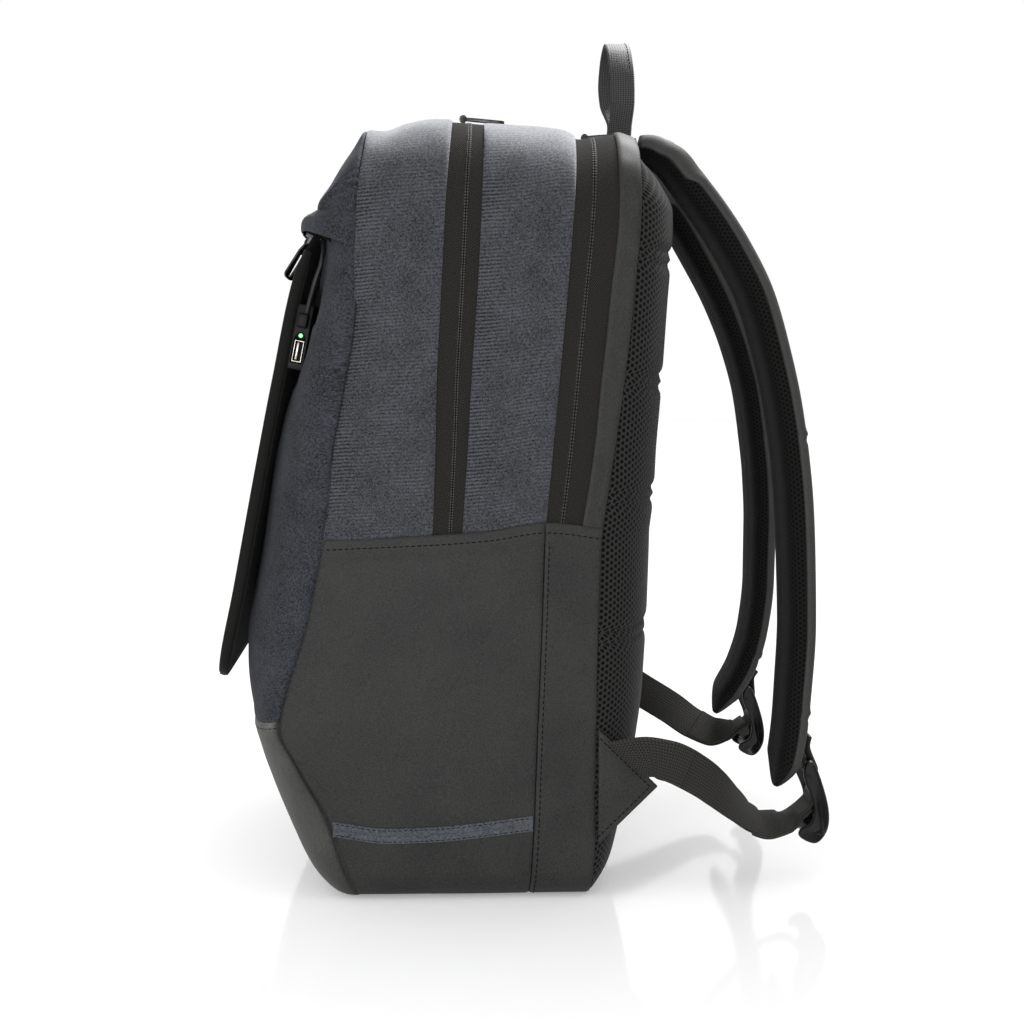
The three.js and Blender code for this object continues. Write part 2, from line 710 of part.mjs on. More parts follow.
const hood = (u, v) => {
  const across = 0.995 * (2 * u - 1);
  const drop = read(HOOD, "share", "drop", v);
  const dip = (UPPER_FRONT_EDGE - HOOD[HOOD.length - 1].drop - lipAt(across)) * v * v;
  const z = UPPER_FRONT_EDGE - GAP / 2 - drop - dip;
  return frontPoint(across, z).addScaledVector(outwardFrom(across, z), hoodReach(across, v));
};
add("hood", "front_fabric", wall(hood, FRONT_COLUMNS, 5, WALL, coreOf));
const zipLedge = (u, v) => {
  const across = 0.985 * (2 * u - 1);
  const z = lipAt(across) + THREE.MathUtils.lerp(0.4, -5, v);
  const reach = Math.max(0, hoodReach(across, 1) - WALL - 1.4) * (1 - v);
  return frontPoint(across, z).addScaledVector(outwardFrom(across, z), reach - 0.2);
};
const underHood = (point) => point.clone().add(new THREE.Vector3(0, 20, 40));
add("pocket_zip_tape", "zip_tape", wall(zipLedge, FRONT_COLUMNS, 1, TAPE_WALL, underHood));

// Flap in front of the pocket
const flapTop = FLAP[0].z;
const flapBottom = FLAP[FLAP.length - 1].z;
const flap = (u, v) => {
  const z = THREE.MathUtils.lerp(flapTop, flapBottom, v);
  const low = Math.max(0, flapBottom + FLAP_CORNER - z);
  const half = FLAP_HALF - FLAP_CORNER + Math.sqrt(Math.max(0, FLAP_CORNER ** 2 - low ** 2));
  return new THREE.Vector3(THREE.MathUtils.lerp(-half, half, u), read(FLAP, "z", "y", z), z);
};
const flapThick = (u, v) => read(FLAP, "z", "thick", THREE.MathUtils.lerp(flapTop, flapBottom, v));
add("flap", "flap_fabric", wall(flap, 4, 18, flapThick, coreOf));

// Charging box, its socket, light, plug and cable
const flapSlope = (read(FLAP, "z", "y", BOX_MIDDLE + 15) - read(FLAP, "z", "y", BOX_MIDDLE - 15)) / 30;
const downFlap = new THREE.Vector3(0, flapSlope, 1).normalize();
const offFlap = new THREE.Vector3(0, 1, -flapSlope).normalize();
const boxFrame = new THREE.Matrix4().makeBasis(new THREE.Vector3(1, 0, 0), offFlap, downFlap);
boxFrame.setPosition(0, read(FLAP, "z", "y", BOX_MIDDLE), BOX_MIDDLE);
const boxNear = FLAP_HALF - 1;
const boxInner = 6.15 + GAP;
const boxCentre = boxInner + BOX_THICK / 2;
const block = (width, deep, tall, x, off, rise) =>
  new THREE.BoxGeometry(width, deep, tall).translate(x, off, rise).applyMatrix4(boxFrame);
const pocket = SOCKET_DEPTH + 2 * GAP;
const box = cut(
  block(BOX_WIDTH, BOX_THICK, BOX_HEIGHT, boxNear - BOX_WIDTH / 2, boxCentre, 0),
  block(
    pocket,
    SOCKET_SHORT + 2 * GAP,
    SOCKET_LONG + 2 * GAP,
    boxNear - pocket / 2 + 1,
    boxCentre,
    -SOCKET_DROP,
  ),
  block(2, 2 * (LED_RADIUS + GAP), 2 * (LED_RADIUS + GAP), boxNear, boxCentre, LED_RISE),
);
add("usb_box", "black_plastic", box);
const socketX = boxNear + 0.4 - SOCKET_DEPTH / 2;
const tongue = block(SOCKET_DEPTH - 2, 1.6, SOCKET_LONG - 2.6, socketX - 0.9, boxCentre - 0.7, -SOCKET_DROP);
const socket = join(
  cut(
    block(SOCKET_DEPTH, SOCKET_SHORT, SOCKET_LONG, socketX, boxCentre, -SOCKET_DROP),
    block(
      SOCKET_DEPTH,
      SOCKET_SHORT - 2 * SOCKET_WALL,
      SOCKET_LONG - 2 * SOCKET_WALL,
      socketX + 1,
      boxCentre,
      -SOCKET_DROP,
    ),
  ),
  tongue,
);
add("usb_socket", "steel", socket);
const light = new THREE.CylinderGeometry(LED_RADIUS, LED_RADIUS, 1.4, 12).rotateZ(Math.PI / 2);
add("led", "green_light", light.translate(boxNear + 0.1, boxCentre, LED_RISE).applyMatrix4(boxFrame));
const plug = block(...PLUG_SIZE, boxNear + GAP + PLUG_SIZE[0] / 2, boxCentre, PLUG_RISE);
add("usb_plug", "black_plastic", plug);
const cableLine = new THREE.CatmullRomCurve3(CABLE_ROUTE.map(({ x, y, z }) => new THREE.Vector3(x, y, z)));
const roundShape = new THREE.Shape(ring(0, 0, CABLE_RADIUS, 8).map(({ y, z }) => new THREE.Vector2(y, z)));
const cable = new THREE.ExtrudeGeometry(roundShape, { steps: 13, extrudePath: cableLine, bevelEnabled: false });
add("usb_cable", "cable_rubber", cable);

// Quilted back pad
const padOuter = [];
const padInner = [];
const PAD_COLUMNS = 12;
const stitchLines = CHANNELS.flatMap((line) => [line - CHANNEL_BAND, line + CHANNEL_BAND]);
const channelEdge = CHANNEL_BAND + CHANNEL_HALF;
const channelEdges = CHANNELS.flatMap((line) => [-1, 0, 1].map((s) => line + s * channelEdge));
const padLevels = [...PAD.map(({ z }) => z), ...stitchLines, ...channelEdges].sort((a, b) => a - b);
const groove = (z) => {
  const nearest = Math.min(...stitchLines.map((line) => Math.abs(z - line)));
  return CHANNEL_DEPTH * ease(1 - nearest / CHANNEL_HALF);
};
for (let i = 0; i <= PAD_COLUMNS; i += 1) {
  const turn = ((2 * i) / PAD_COLUMNS - 1) * (Math.PI / 2);
  const across = Math.sign(turn) * Math.abs(Math.sin(turn)) ** (2 / PAD_SQUARENESS);
  const swell = Math.cos(turn) ** (2 / PAD_ROUNDNESS);
  padOuter.push([]);
  padInner.push([]);
  for (const z of padLevels) {
    const x = across * (halfAt(z) - 0.5);
    const start = seam("back", z) + GAP;
    const depth = 1.4 + (read(PAD, "z", "depth", z) - 1.4 - groove(z)) * swell;
    padOuter[i].push(new THREE.Vector3(x, start + Math.max(1.2, depth), z));
    padInner[i].push(new THREE.Vector3(x, start + Math.max(0, depth - PAD_THICK), z));
  }
}
add("back_pad", "air_mesh", bodyBetween(padOuter, padInner));

// Carry handle
const mirrored = (row) => ({ ...row, x: -row.x, turn: -row.turn });
const handleRows = [...HANDLE, ...HANDLE.slice(0, -1).reverse().map(mirrored)];
const handleAcross = ({ turn }) => {
  const angle = THREE.MathUtils.degToRad(turn);
  return new THREE.Vector3(Math.sin(angle), Math.cos(angle), 0);
};
add("handle", "webbing", webbing(stations(handleRows, 28, ["turn"]), HANDLE_WIDTH, HANDLE_THICK, handleAcross));

// Shoulder straps with their buckles and webbing
const CROSS = new THREE.Vector3(1, 0, 0);
const COVER_RIM = [[-0.98, 0.7], [-0.7, 0.78], [0.7, 0.78], [0.98, 0.7]];
const PAD_SECTION = [
  [-1, 0.2],
  [-0.96, -0.62],
  [-0.8, -1],
  [0.8, -1],
  [0.96, -0.62],
  [1, 0.2],
  [0.97, 0.7],
  [-0.97, 0.7],
];
const strapRows = (tag) => STRAP.map((row) => ({ ...row, y: row.y + (tag === "left" ? row.sway : 0) }));
function strapStations(rows) {
  return stations(rows, STRAP_STATIONS, ["wide", "thick"]).map((station) => {
    const across = CROSS.clone().addScaledVector(station.direction, -CROSS.dot(station.direction)).normalize();
    const out = new THREE.Vector3().crossVectors(station.direction, across).normalize();
    if (out.y < 0) out.negate();
    const place = (w, t, lift) => station.point.clone()
      .addScaledVector(across, (w * station.wide) / 2)
      .addScaledVector(out, (t * station.thick) / 2 + lift);
    return place;
  });
}
const padOutlines = (rows) => strapStations(rows).map((place) => PAD_SECTION.map(([w, t]) => place(w, t, 0)));
function coverOutlines(rows) {
  return strapStations(rows).map((place) => {
    const under = COVER_RIM.map(([w, t]) => place(w, t, GAP));
    const over = COVER_RIM.map(([w, t]) => place(w, t, GAP + STRAP_COVER_WALL)).reverse();
    return [...under, ...over];
  });
}
function loopRows(rows, shift) {
  const [bar] = BUCKLE_BARS;
  const reach = bar.radius + GAP + WEB_THICK / 2;
  const on = (z, spread) => {
    const slope = (read(rows, "z", "y", z + 1) - read(rows, "z", "y", z - 1)) / 2;
    const lift = (COVER_RIM[1][1] * read(rows, "z", "thick", z)) / 2 + GAP + STRAP_COVER_WALL;
    const face = read(rows, "z", "y", z) + lift * Math.hypot(1, slope);
    return { x: BUCKLE_X, y: face + GAP + WEB_THICK / 2 + spread, z };
  };
  const round = [180, 225, 270, 315, 360].map((degrees) => {
    const angle = THREE.MathUtils.degToRad(degrees);
    const y = bar.y + shift.y + reach * Math.cos(angle);
    const z = bar.z + shift.z + reach * Math.sin(angle);
    return { x: BUCKLE_X, y, z };
  });
  const down = LOOP_HEIGHTS.down.map((z) => on(z, 0));
  const up = LOOP_HEIGHTS.up.map((z) => on(z, LOOP_SPREAD));
  return [...down, ...round, ...up];
}
function mirror(geometry, side) {
  if (side > 0) return geometry;
  const places = geometry.getAttribute("position");
  const index = geometry.index ? Array.from(geometry.index.array) : [...Array(places.count).keys()];
  return facingOut(Array.from(places.array, (value, k) => (k % 3 === 0 ? -value : value)), index);
}
const webSpan = (station) => {
  const upright = new THREE.Vector3(0, -station.direction.z, station.direction.y);
  const angle = THREE.MathUtils.degToRad(station.twist);
  return upright.multiplyScalar(Math.cos(angle)).addScaledVector(CROSS, Math.sin(angle));
};
function buckle(shift) {
  const outline = BUCKLE_PLATE.map(({ y, z }) => ({ y: y + shift.y, z: z + shift.z }));
  const plate = (x) => sidePrism(outline, x - BUCKLE_PLATE_WALL / 2, x + BUCKLE_PLATE_WALL / 2);
  const bars = BUCKLE_BARS.map(({ y, z, radius }) =>
    sidePrism(ring(y + shift.y, z + shift.z, radius, 10), BUCKLE_X - BUCKLE_HALF, BUCKLE_X + BUCKLE_HALF));
  return join(plate(BUCKLE_X - BUCKLE_HALF), plate(BUCKLE_X + BUCKLE_HALF), ...bars);
}
const wingOutline = (lift) => WING.map(({ y, z }) =>
  new THREE.Vector3(HALF_WIDTH + 2.4 + lift - (y - WING[0].y) * WING_LEAN, y, z));
for (const { side, tag } of SIDES) {
  const rows = strapRows(tag);
  const shift = BUCKLE_SHIFT[tag];
  const flatLoop = webbing(stations(loopRows(rows, shift), 24, []), WEB_WIDTH, WEB_THICK, () => CROSS.clone());
  const lowerWeb = webbing(stations(LOWER_WEBS[tag], 24, ["twist"]), WEB_WIDTH, WEB_THICK, webSpan);
  add(`strap_pad_${tag}`, "air_mesh", mirror(loft(padOutlines(rows)), side));
  add(`strap_cover_${tag}`, "coated", mirror(loft(coverOutlines(rows)), side));
  add(`strap_loop_${tag}`, "webbing", mirror(flatLoop, side));
  add(`buckle_${tag}`, "black_plastic", mirror(buckle(shift), side));
  add(`lower_web_${tag}`, "webbing", mirror(lowerWeb, side));
  add(`wing_${tag}`, "coated", mirror(loft([wingOutline(-WING_WALL), wingOutline(0)]), side));
}

// Zip sliders and their pull tabs
function pullTab() {
  const end = PULL_LENGTH - PULL_HALF;
  const outline = (half) => {
    const shapeLine = new THREE.Shape();
    shapeLine.moveTo(-half * 0.62, KNUCKLE_RADIUS - 0.9);
    shapeLine.lineTo(half * 0.62, KNUCKLE_RADIUS - 0.9);
    shapeLine.lineTo(half, 7);
    shapeLine.lineTo(half, end);
    shapeLine.absarc(0, end, half, 0, Math.PI, false);
    shapeLine.lineTo(-half, 7);
    return shapeLine;
  };
  const face = outline(PULL_HALF);
  const slot = new THREE.Path();
  const half = PULL_HALF - PULL_RIM;
  slot.moveTo(-half, 8.5);
  slot.lineTo(half, 8.5);
  slot.lineTo(half, end);
  slot.absarc(0, end, half, 0, Math.PI, false);
  face.holes.push(slot);
  const tab = new THREE.ExtrudeGeometry(face, { depth: PULL_THICK, bevelEnabled: false, curveSegments: 4 });
  tab.translate(0, 0, -PULL_THICK / 2);
  const knuckle = sidePrism(ring(0, 0, KNUCKLE_RADIUS, 10), -2, 2, [ring(0, 0, PIN_RADIUS + PIN_PLAY, 10)]);
  return join(cut(tab, sidePrism(ring(0, 0, PIN_RADIUS + PIN_PLAY, 10), -4, 4)), knuckle);
}
function sliderBody() {
  const [wide, long, tall] = SLIDER_SIZE;
  const foot = new THREE.BoxGeometry(wide, long, tall).translate(0, 0, -PIN_HEIGHT - tall / 2);
  const posts = [-1, 1].map((s) =>
    new THREE.BoxGeometry(1.6, 2.4, PIN_HEIGHT + 1.4).translate(s * 3.3, 0, -PIN_HEIGHT / 2 + 0.3));
  return join(foot, ...posts, sidePrism(ring(0, 0, PIN_RADIUS, 10), -3.6, 3.6));
}
for (const zip of ZIPS) {
  const place = (geometry, angle) =>
    geometry.rotateX(THREE.MathUtils.degToRad(angle)).translate(zip.x, zip.y, zip.z);
  add(`${zip.name}_slider`, "gunmetal", place(sliderBody(), zip.mount + 90));
  add(`${zip.name}_pull`, "gunmetal", place(pullTab(), zip.rest));
}

export default bag;
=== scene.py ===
"""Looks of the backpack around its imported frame: camera, light, cloth, zips, mesh, straps and trim."""
import json
import math

import bpy
import numpy as np
from mathutils import Matrix, Vector

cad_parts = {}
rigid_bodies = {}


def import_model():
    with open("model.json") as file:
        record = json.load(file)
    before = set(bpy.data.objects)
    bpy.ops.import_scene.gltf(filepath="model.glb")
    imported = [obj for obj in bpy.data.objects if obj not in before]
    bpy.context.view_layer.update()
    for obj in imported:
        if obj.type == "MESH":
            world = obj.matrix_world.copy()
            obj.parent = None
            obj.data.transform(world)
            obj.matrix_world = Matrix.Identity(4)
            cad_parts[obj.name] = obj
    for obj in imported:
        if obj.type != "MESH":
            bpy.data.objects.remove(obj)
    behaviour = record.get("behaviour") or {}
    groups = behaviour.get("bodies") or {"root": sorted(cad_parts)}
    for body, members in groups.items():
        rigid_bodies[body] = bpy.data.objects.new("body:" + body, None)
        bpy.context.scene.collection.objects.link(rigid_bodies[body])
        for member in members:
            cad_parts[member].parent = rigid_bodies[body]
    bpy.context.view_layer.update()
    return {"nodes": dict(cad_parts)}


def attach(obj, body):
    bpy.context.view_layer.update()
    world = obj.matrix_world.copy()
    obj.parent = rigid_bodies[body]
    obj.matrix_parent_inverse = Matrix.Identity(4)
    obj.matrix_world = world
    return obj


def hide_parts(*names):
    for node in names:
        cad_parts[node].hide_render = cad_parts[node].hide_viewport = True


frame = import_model()
MM = 0.001
BODY = "bag"

# Camera of the photograph, in millimetres and radians
CAMERA_PLACE = (1176, -13, 338)
CAMERA_YAW = 0.04119
CAMERA_PITCH = 0.09806
CAMERA_LENS = 61.42
CAMERA_SENSOR = 36

# Main sizes, as in the solids
HALF_WIDTH = 144
TOP = 462
SHOULDER_RADIUS = 45
FOOT_RADIUS = 16
GAP = 0.4
SIDE_PUFF = 5
PUFF_FOOT = 60
PUFF_SHOULDER = 90
CROWN_START = 380
HEM_MIDDLE = 225
FRONT_SQUARENESS = 3.6
FRONT_ROUNDNESS = 2.1
FRONT_SEAM_HEIGHT = 104
FRONT_SEAM_LIFT = 7
UPPER_FRONT_EDGE = 420
HOOD_SIDE_REACH = 2.8
HOOD_SIDE_DROP = 12
HOOD_LIP_SQUARENESS = 5
HOOD_ROOT_SQUARENESS = 4
FRONT_SEAM_SQUARENESS = 4
HOOD_ROOT = 416.5
HOOD_ROOT_DROP = 4.5
HOOD_FLARE = 1.6
HOOD_FAN = 0.5
WALL = 2
BASE_EDGE = 3


def table(columns, *rows):
    """Named columns of a short table of numbers."""
    return dict(zip(columns.split(), np.array(rows, float).T))


# Side seams by height: how far back each seam lies
SEAMS = table(
    "z front middle back",
    (0, -64, 40, 77),
    (20, -73, 41.5, 79.5),
    (49, -82.5, 43, 80.6),
    (86, -102, 44.3, 80.7),
    (106, -111, 45, 80.7),
    (129, -106.5, 46, 80.9),
    (165, -95.5, 47.4, 81.5),
    (220, -83.4, 49, 83.2),
)
UPPER_SEAMS = table(
    "z front main_front main_rear laptop_front laptop_rear back",
    (220, -83.4, -17.5, -0.6, 49.2, 70, 83.2),
    (275, -79, -15.5, 3.2, 54.2, 78.4, 91.3),
    (312, -72.8, -14.6, 5.2, 57.6, 82, 96.4),
    (360, -64.6, -12.2, 8.6, 61.8, 87, 101.4),
    (420, -61.6, -8.6, 12, 66.6, 92.4, 106),
    (462, -56, -4.5, 14, 69, 92.4, 106),
)
HEM = table("y z", (-84, 220), (-17, 223.4), (16, 225.8), (49, 230.3), (84, 226))
CROWN = table("y rise", (-58, 0), (-33, 6), (-13, 8.5), (24, 6), (60, 2.4), (72, -1.5), (94, 1), (106, -2))
FACE = table(
    "z y",
    (0, -87.5),
    (15, -99.4),
    (31, -107.8),
    (53, -117.6),
    (78, -125.6),
    (105, -131.7),
    (133, -135.8),
    (154, -136.5),
    (183, -132.1),
    (219, -124.8),
    (260, -114.4),
    (308, -101.2),
    (340, -91.8),
    (380, -86),
    (402, -84.6),
    (420, -88.4),
    (433, -80),
    (450, -68.6),
    (462, -58.4),
)
HOOD = table(
    "share drop reach",
    (0, 0, 0),
    (0.25, 2.6, 5.6),
    (0.5, 5, 11.4),
    (0.78, 9.9, 15.2),
    (1, 15, 16.6),
)
PAD = table(
    "z depth",
    (3, 8),
    (18, 16.5),
    (36, 21),
    (91, 32.3),
    (120, 36),
    (178, 38),
    (231, 37.5),
    (275, 33.5),
    (344, 29.5),
    (416, 27.2),
    (430, 20),
    (439, 12.5),
    (446, 3.4),
    (451, 1.4),
)
CHANNELS = (387.5, 312.8, 242.8, 159.2)
CHANNEL_BAND = 3.7
QUILT_DEPTH = 4.6
QUILT_ROUND = 7.0
FLAP = table(
    "z y thick",
    (400.4, -88.6, 2.0),
    (394, -92.6, 2.6),
    (387, -95.6, 3.6),
    (381, -98.7, 5.6),
    (314, -114, 6),
    (260, -125, 6),
    (219, -133, 6),
    (183, -140, 6),
    (150, -147, 5.6),
    (131, -150, 4.6),
)
FLAP_HALF = 110
FLAP_CORNER = 14
CABLE = table(
    "x y z",
    (108.6, -82.4, 397.4),
    (113.5, -82.4, 392),
    (117, -83.6, 384),
    (117.5, -87, 374),
    (115, -91, 361),
    (113.8, -92.9, 354.1),
)
CABLE_RADIUS = 1.4
STRAP = table(
    "x y z wide thick sway",
    (62, 112.5, 456.8, 62, 12, 0),
    (63.5, 127.5, 451.4, 62, 15, 0),
    (66, 148.4, 427.6, 62, 17.5, 0.7),
    (71, 170.4, 394, 62, 18, 0.4),
    (77, 184.2, 364.4, 62, 17.5, 3),
    (84, 193, 332, 61, 17, 8),
    (89, 199.6, 300, 60, 17, 11),
    (94, 203.8, 268, 60, 16.8, 12.4),
    (98, 206.2, 238, 60, 16.8, 14),
    (101, 207.6, 203, 59, 16.5, 14.5),
    (104, 208.2, 163, 58, 16, 14),
    (106, 206.2, 125, 56, 15.5, 12.4),
    (107, 204, 97, 53, 15, 6.5),
    (108, 200, 74, 48, 13.5, -2),
    (108, 196, 60, 38, 10, -4),
)
COVER_WALL = 1.6
COVER_RISE = 0.78
WEB_WIDTH = 25
WEB_THICK = 1.8
LOWER_WEBS = {
    "right": table(
        "x y z twist",
        (147.2, 98, 86.4, 0),
        (146.6, 110, 87.6, 0),
        (145.4, 124.3, 85, -5),
        (141, 144.1, 74.2, -25),
        (136, 155, 65.3, -36),
        (129.5, 167.5, 53.5, -52),
        (123.5, 179.2, 43.2, -62),
        (117, 191, 38.2, -66),
        (110.5, 202.4, 38.8, -76),
        (108, 210.2, 43.4, -90),
        (108, 217.6, 51, -90),
        (108, 218, 54.7, -90),
        (108, 220.6, 56.9, -90),
        (108, 224, 56.7, -90),
    ),
    "left": table(
        "x y z twist",
        (147.2, 98, 84.4, 0),
        (146.6, 110, 85, 0),
        (145.9, 124.3, 80, 1),
        (140.5, 142.7, 69.5, 10),
        (133, 162, 58.4, 18),
        (125, 178, 48, 30),
        (116.5, 192.6, 42.6, 48),
        (110.5, 203, 44.6, 74),
        (108, 209.6, 48.8, 90),
        (108, 217.1, 54.6, 90),
        (108, 217.5, 58.3, 90),
        (108, 220.1, 60.5, 90),
        (108, 223.5, 60.3, 90),
    ),
}
LOOP_DOWN = (99, 92, 85)
LOOP_UP = (87, 93)
LOOP_SPREAD = 3.2
BUCKLE_X = 108
BUCKLE_HALF = 17
BUCKLE_WALL = 3
BUCKLE_PLATE = table(
    "y z",
    (212.8, 77.9),
    (218.3, 76.4),
    (226.3, 52.4),
    (226.8, 36.4),
    (219.8, 26.9),
    (209.8, 30.4),
    (209.3, 35.4),
    (216.8, 40.4),
    (217.3, 52.4),
    (211.3, 68.4),
)
BUCKLE_BARS = table("y z radius", (216.4, 72.8, 2.4), (222, 52.9, 2.6), (214.8, 32.4, 2.4))
BUCKLE_TOP_BAR = [BUCKLE_BARS[column][0] for column in ("y", "z", "radius")]
BUCKLE_SHIFT = {"right": (0, 0), "left": (-0.5, 3.6)}
WING = ((81.6, 105), (118, 69), (81.6, 34))
WING_WALL = 2.4
WING_LEAN = 0.06
HANDLE = table(
    "x y z turn",
    (20, 103.6, 453, 34),
    (20, 105.0, 465, 34),
    (21.5, 105.4, 478, 30),
    (25, 106.4, 493, 18),
    (25, 106, 507, 8),
    (17, 104.6, 525, 0),
    (0, 104, 531.4, 0),
    (-17, 103.4, 525, 0),
    (-25, 102.6, 508, -6),
    (-25, 103.4, 497, -14),
    (-22, 107.6, 481, -30),
    (-20, 105.6, 466, -34),
    (-20, 103.6, 453, -34),
)
HANDLE_WIDTH = 15.8
HANDLE_THICK = 2.6
STRIPE = table("y z", (-76, 40), (-46, 36.3), (-19, 37.3), (41, 43))
STRIPE_WIDE = 9.2
STRIPE_ENDS = (-78.5, 42)
STRIPE_LONG = STRIPE_ENDS[1] - STRIPE_ENDS[0]
SIDES = ((1, "right"), (-1, "left"))
CORE = np.array((0.0, 10.0, 230.0))
ACROSS = np.array((1.0, 0, 0))


def read(rows, key, column, value):
    """Smooth value of one column of a table, without overshoot between its rows."""
    xs, ys = rows[key], rows[column]
    if xs[0] > xs[-1]:
        xs, ys = xs[::-1], ys[::-1]
    rise = np.diff(ys) / np.diff(xs)
    product = rise[:-1] * rise[1:]
    total = np.where(product > 0, rise[:-1] + rise[1:], 1)
    slope = np.concatenate([rise[:1], np.where(product > 0, 2 * product / total, 0), rise[-1:]])
    v = np.clip(np.asarray(value, float), xs[0], xs[-1])
    i = np.clip(np.searchsorted(xs, v) - 1, 0, len(xs) - 2)
    span = xs[i + 1] - xs[i]
    t = (v - xs[i]) / span
    s = 1 - t
    ends = s * s * (1 + 2 * t) * ys[i] + t * t * (3 - 2 * t) * ys[i + 1]
    return ends + span * t * s * (s * slope[i] - t * slope[i + 1])


def ease(t):
    """Smooth step from 0 to 1."""
    c = np.clip(t, 0, 1)
    return c * c * (3 - 2 * c)


def within(value, low, rise, high, fall):
    """1 between two limits, fading to 0 inside them over the given widths."""
    return ease((value - low) / rise) * ease((high - value) / fall)


def bell(off, wide):
    """Bell curve that is 1 at its middle."""
    return np.exp(-((off / wide) ** 2))


def bells(rows, off):
    """Sum of the bell curves of a table, by their heights, places and widths."""
    shapes = zip(rows["height"], rows["at"], rows["wide"])
    return sum(height * bell(off - at, wide) for height, at, wide in shapes)


def mix(a, b, t):
    """Straight mix of two values."""
    return a + (b - a) * t


def stack(x, y, z):
    """Points from three arrays of coordinates."""
    return np.stack(np.broadcast_arrays(x, y, z), -1).astype(float)


def unit(vectors):
    """Vectors brought to length one."""
    return vectors / np.maximum(np.linalg.norm(vectors, axis=-1, keepdims=True), 1e-9)


def seam(name, z):
    """Depth of a side seam at a height."""
    z = np.asarray(z, float)
    if name not in SEAMS:
        return read(UPPER_SEAMS, "z", name, z)
    low = read(SEAMS, "z", name, z)
    if name not in UPPER_SEAMS:
        return low
    return np.where(z < UPPER_SEAMS["z"][0], low, read(UPPER_SEAMS, "z", name, z))


FOOT_ARC = FOOT_RADIUS * math.pi / 2
SHOULDER_ARC = SHOULDER_RADIUS * math.pi / 2
STRAIGHT = TOP - SHOULDER_RADIUS - FOOT_RADIUS
ROUND_LENGTH = FOOT_ARC + STRAIGHT + SHOULDER_ARC + HALF_WIDTH - SHOULDER_RADIUS


def round_path(run):
    """Path from the base edge up one side and over to the middle of the top."""
    foot = np.clip(run, 0, FOOT_ARC) / FOOT_RADIUS
    up = np.clip(run - FOOT_ARC, 0, STRAIGHT)
    turn = np.clip(run - FOOT_ARC - STRAIGHT, 0, SHOULDER_ARC) / SHOULDER_RADIUS
    over = np.maximum(run - FOOT_ARC - STRAIGHT - SHOULDER_ARC, 0)
    x = HALF_WIDTH - FOOT_RADIUS * (1 - np.sin(foot)) - SHOULDER_RADIUS * (1 - np.cos(turn)) - over
    z = FOOT_RADIUS * (1 - np.cos(foot)) + up + SHOULDER_RADIUS * np.sin(turn)
    return x, z


def run_at(z):
    """Run along that path at which a height on the straight part is reached."""
    return FOOT_ARC + z - FOOT_RADIUS


def half_at(z):
    """Half width of the bag at a height."""
    low = np.maximum(0, FOOT_RADIUS - z)
    above = np.maximum(0, z - (TOP - SHOULDER_RADIUS))
    foot = FOOT_RADIUS - np.sqrt(np.maximum(0, FOOT_RADIUS**2 - low**2))
    shoulder = SHOULDER_RADIUS - np.sqrt(np.maximum(0, SHOULDER_RADIUS**2 - above**2))
    return HALF_WIDTH - foot - shoulder


def skin(y, run, side):
    """Point of the stuffed side and top surface."""
    x, z = round_path(run)
    front = seam("front", z)
    share = np.clip((y - front) / (seam("back", z) - front), 0, 1)
    puff = SIDE_PUFF * np.sin(math.pi * share) * within(z, 0, PUFF_FOOT, TOP, PUFF_SHOULDER)
    crown = read(CROWN, "y", "rise", y) * ease((z - CROWN_START) / (TOP - CROWN_START))
    return stack(side * (x + puff), y, z + crown)


SLIP = 1.02
SLIP_DEPTH = 1.6
FRONT_STEPS = 161


def pick(rows, at):
    """One value of each row."""
    return np.take_along_axis(rows, at, -1)


def front_point(across, z):
    """Point of the front: across runs from -1 at the left seam to 1 at the right one, and on under them."""
    across, z = np.broadcast_arrays(np.asarray(across, float), np.asarray(z, float))
    turn = np.linspace(0, math.pi / 2, FRONT_STEPS)
    half = half_at(z) + GAP / 2
    start = seam("front", z) - GAP
    reach = start - read(FACE, "z", "y", z)
    x = half[..., None] * np.sin(turn) ** (2 / FRONT_SQUARENESS)
    y = start[..., None] - reach[..., None] * np.cos(turn) ** (2 / FRONT_ROUNDNESS)
    step = np.hypot(np.diff(x, axis=-1), np.diff(y, axis=-1))
    run = np.concatenate([np.zeros(step.shape[:-1] + (1,)), np.cumsum(step, -1)], -1)
    want = (np.minimum(np.abs(across), 1) * run[..., -1])[..., None]
    k = np.clip((run < want).sum(-1, keepdims=True) - 1, 0, len(turn) - 2)
    share = (want - pick(run, k)) / (pick(run, k + 1) - pick(run, k))
    beyond = np.maximum(np.abs(across) - 1, 0) * run[..., -1]
    px = mix(pick(x, k), pick(x, k + 1), share)[..., 0] - SLIP_DEPTH * ease(beyond / SLIP_DEPTH)
    py = mix(pick(y, k), pick(y, k + 1), share)[..., 0] + beyond
    return stack(np.sign(across) * px, py, z)


WAVE_COUNT = 14
WAVE_STRETCH = (0.7, 1.6)


def waves(points, length, seed):
    """Soft seeded noise between about -1 and 1 with the given wave length."""
    rng = np.random.default_rng(seed)
    turns = unit(rng.normal(size=(WAVE_COUNT, 3)))
    phases = rng.uniform(0, 7, WAVE_COUNT)
    stretches = rng.uniform(*WAVE_STRETCH, WAVE_COUNT)
    out = np.zeros(points.shape[:-1])
    for turn, phase, stretch in zip(turns, phases, stretches):
        out += np.sin(points @ turn * (2 * math.pi * stretch / length) + phase)
    return out / math.sqrt(WAVE_COUNT)


# Meshes
EDGE_STEPS = np.array((0, 0.5, 1.1, 1.9, 3.0, 4.4))
EDGE_DEPTH = 6


def edged(length, step):
    """Shares along a length, closer together at its two ends."""
    count = max(2, int((length - 2 * EDGE_DEPTH) / step) + 1)
    middle = np.linspace(EDGE_DEPTH, length - EDGE_DEPTH, count)
    return np.concatenate([EDGE_STEPS, middle, length - EDGE_STEPS[::-1]]) / length


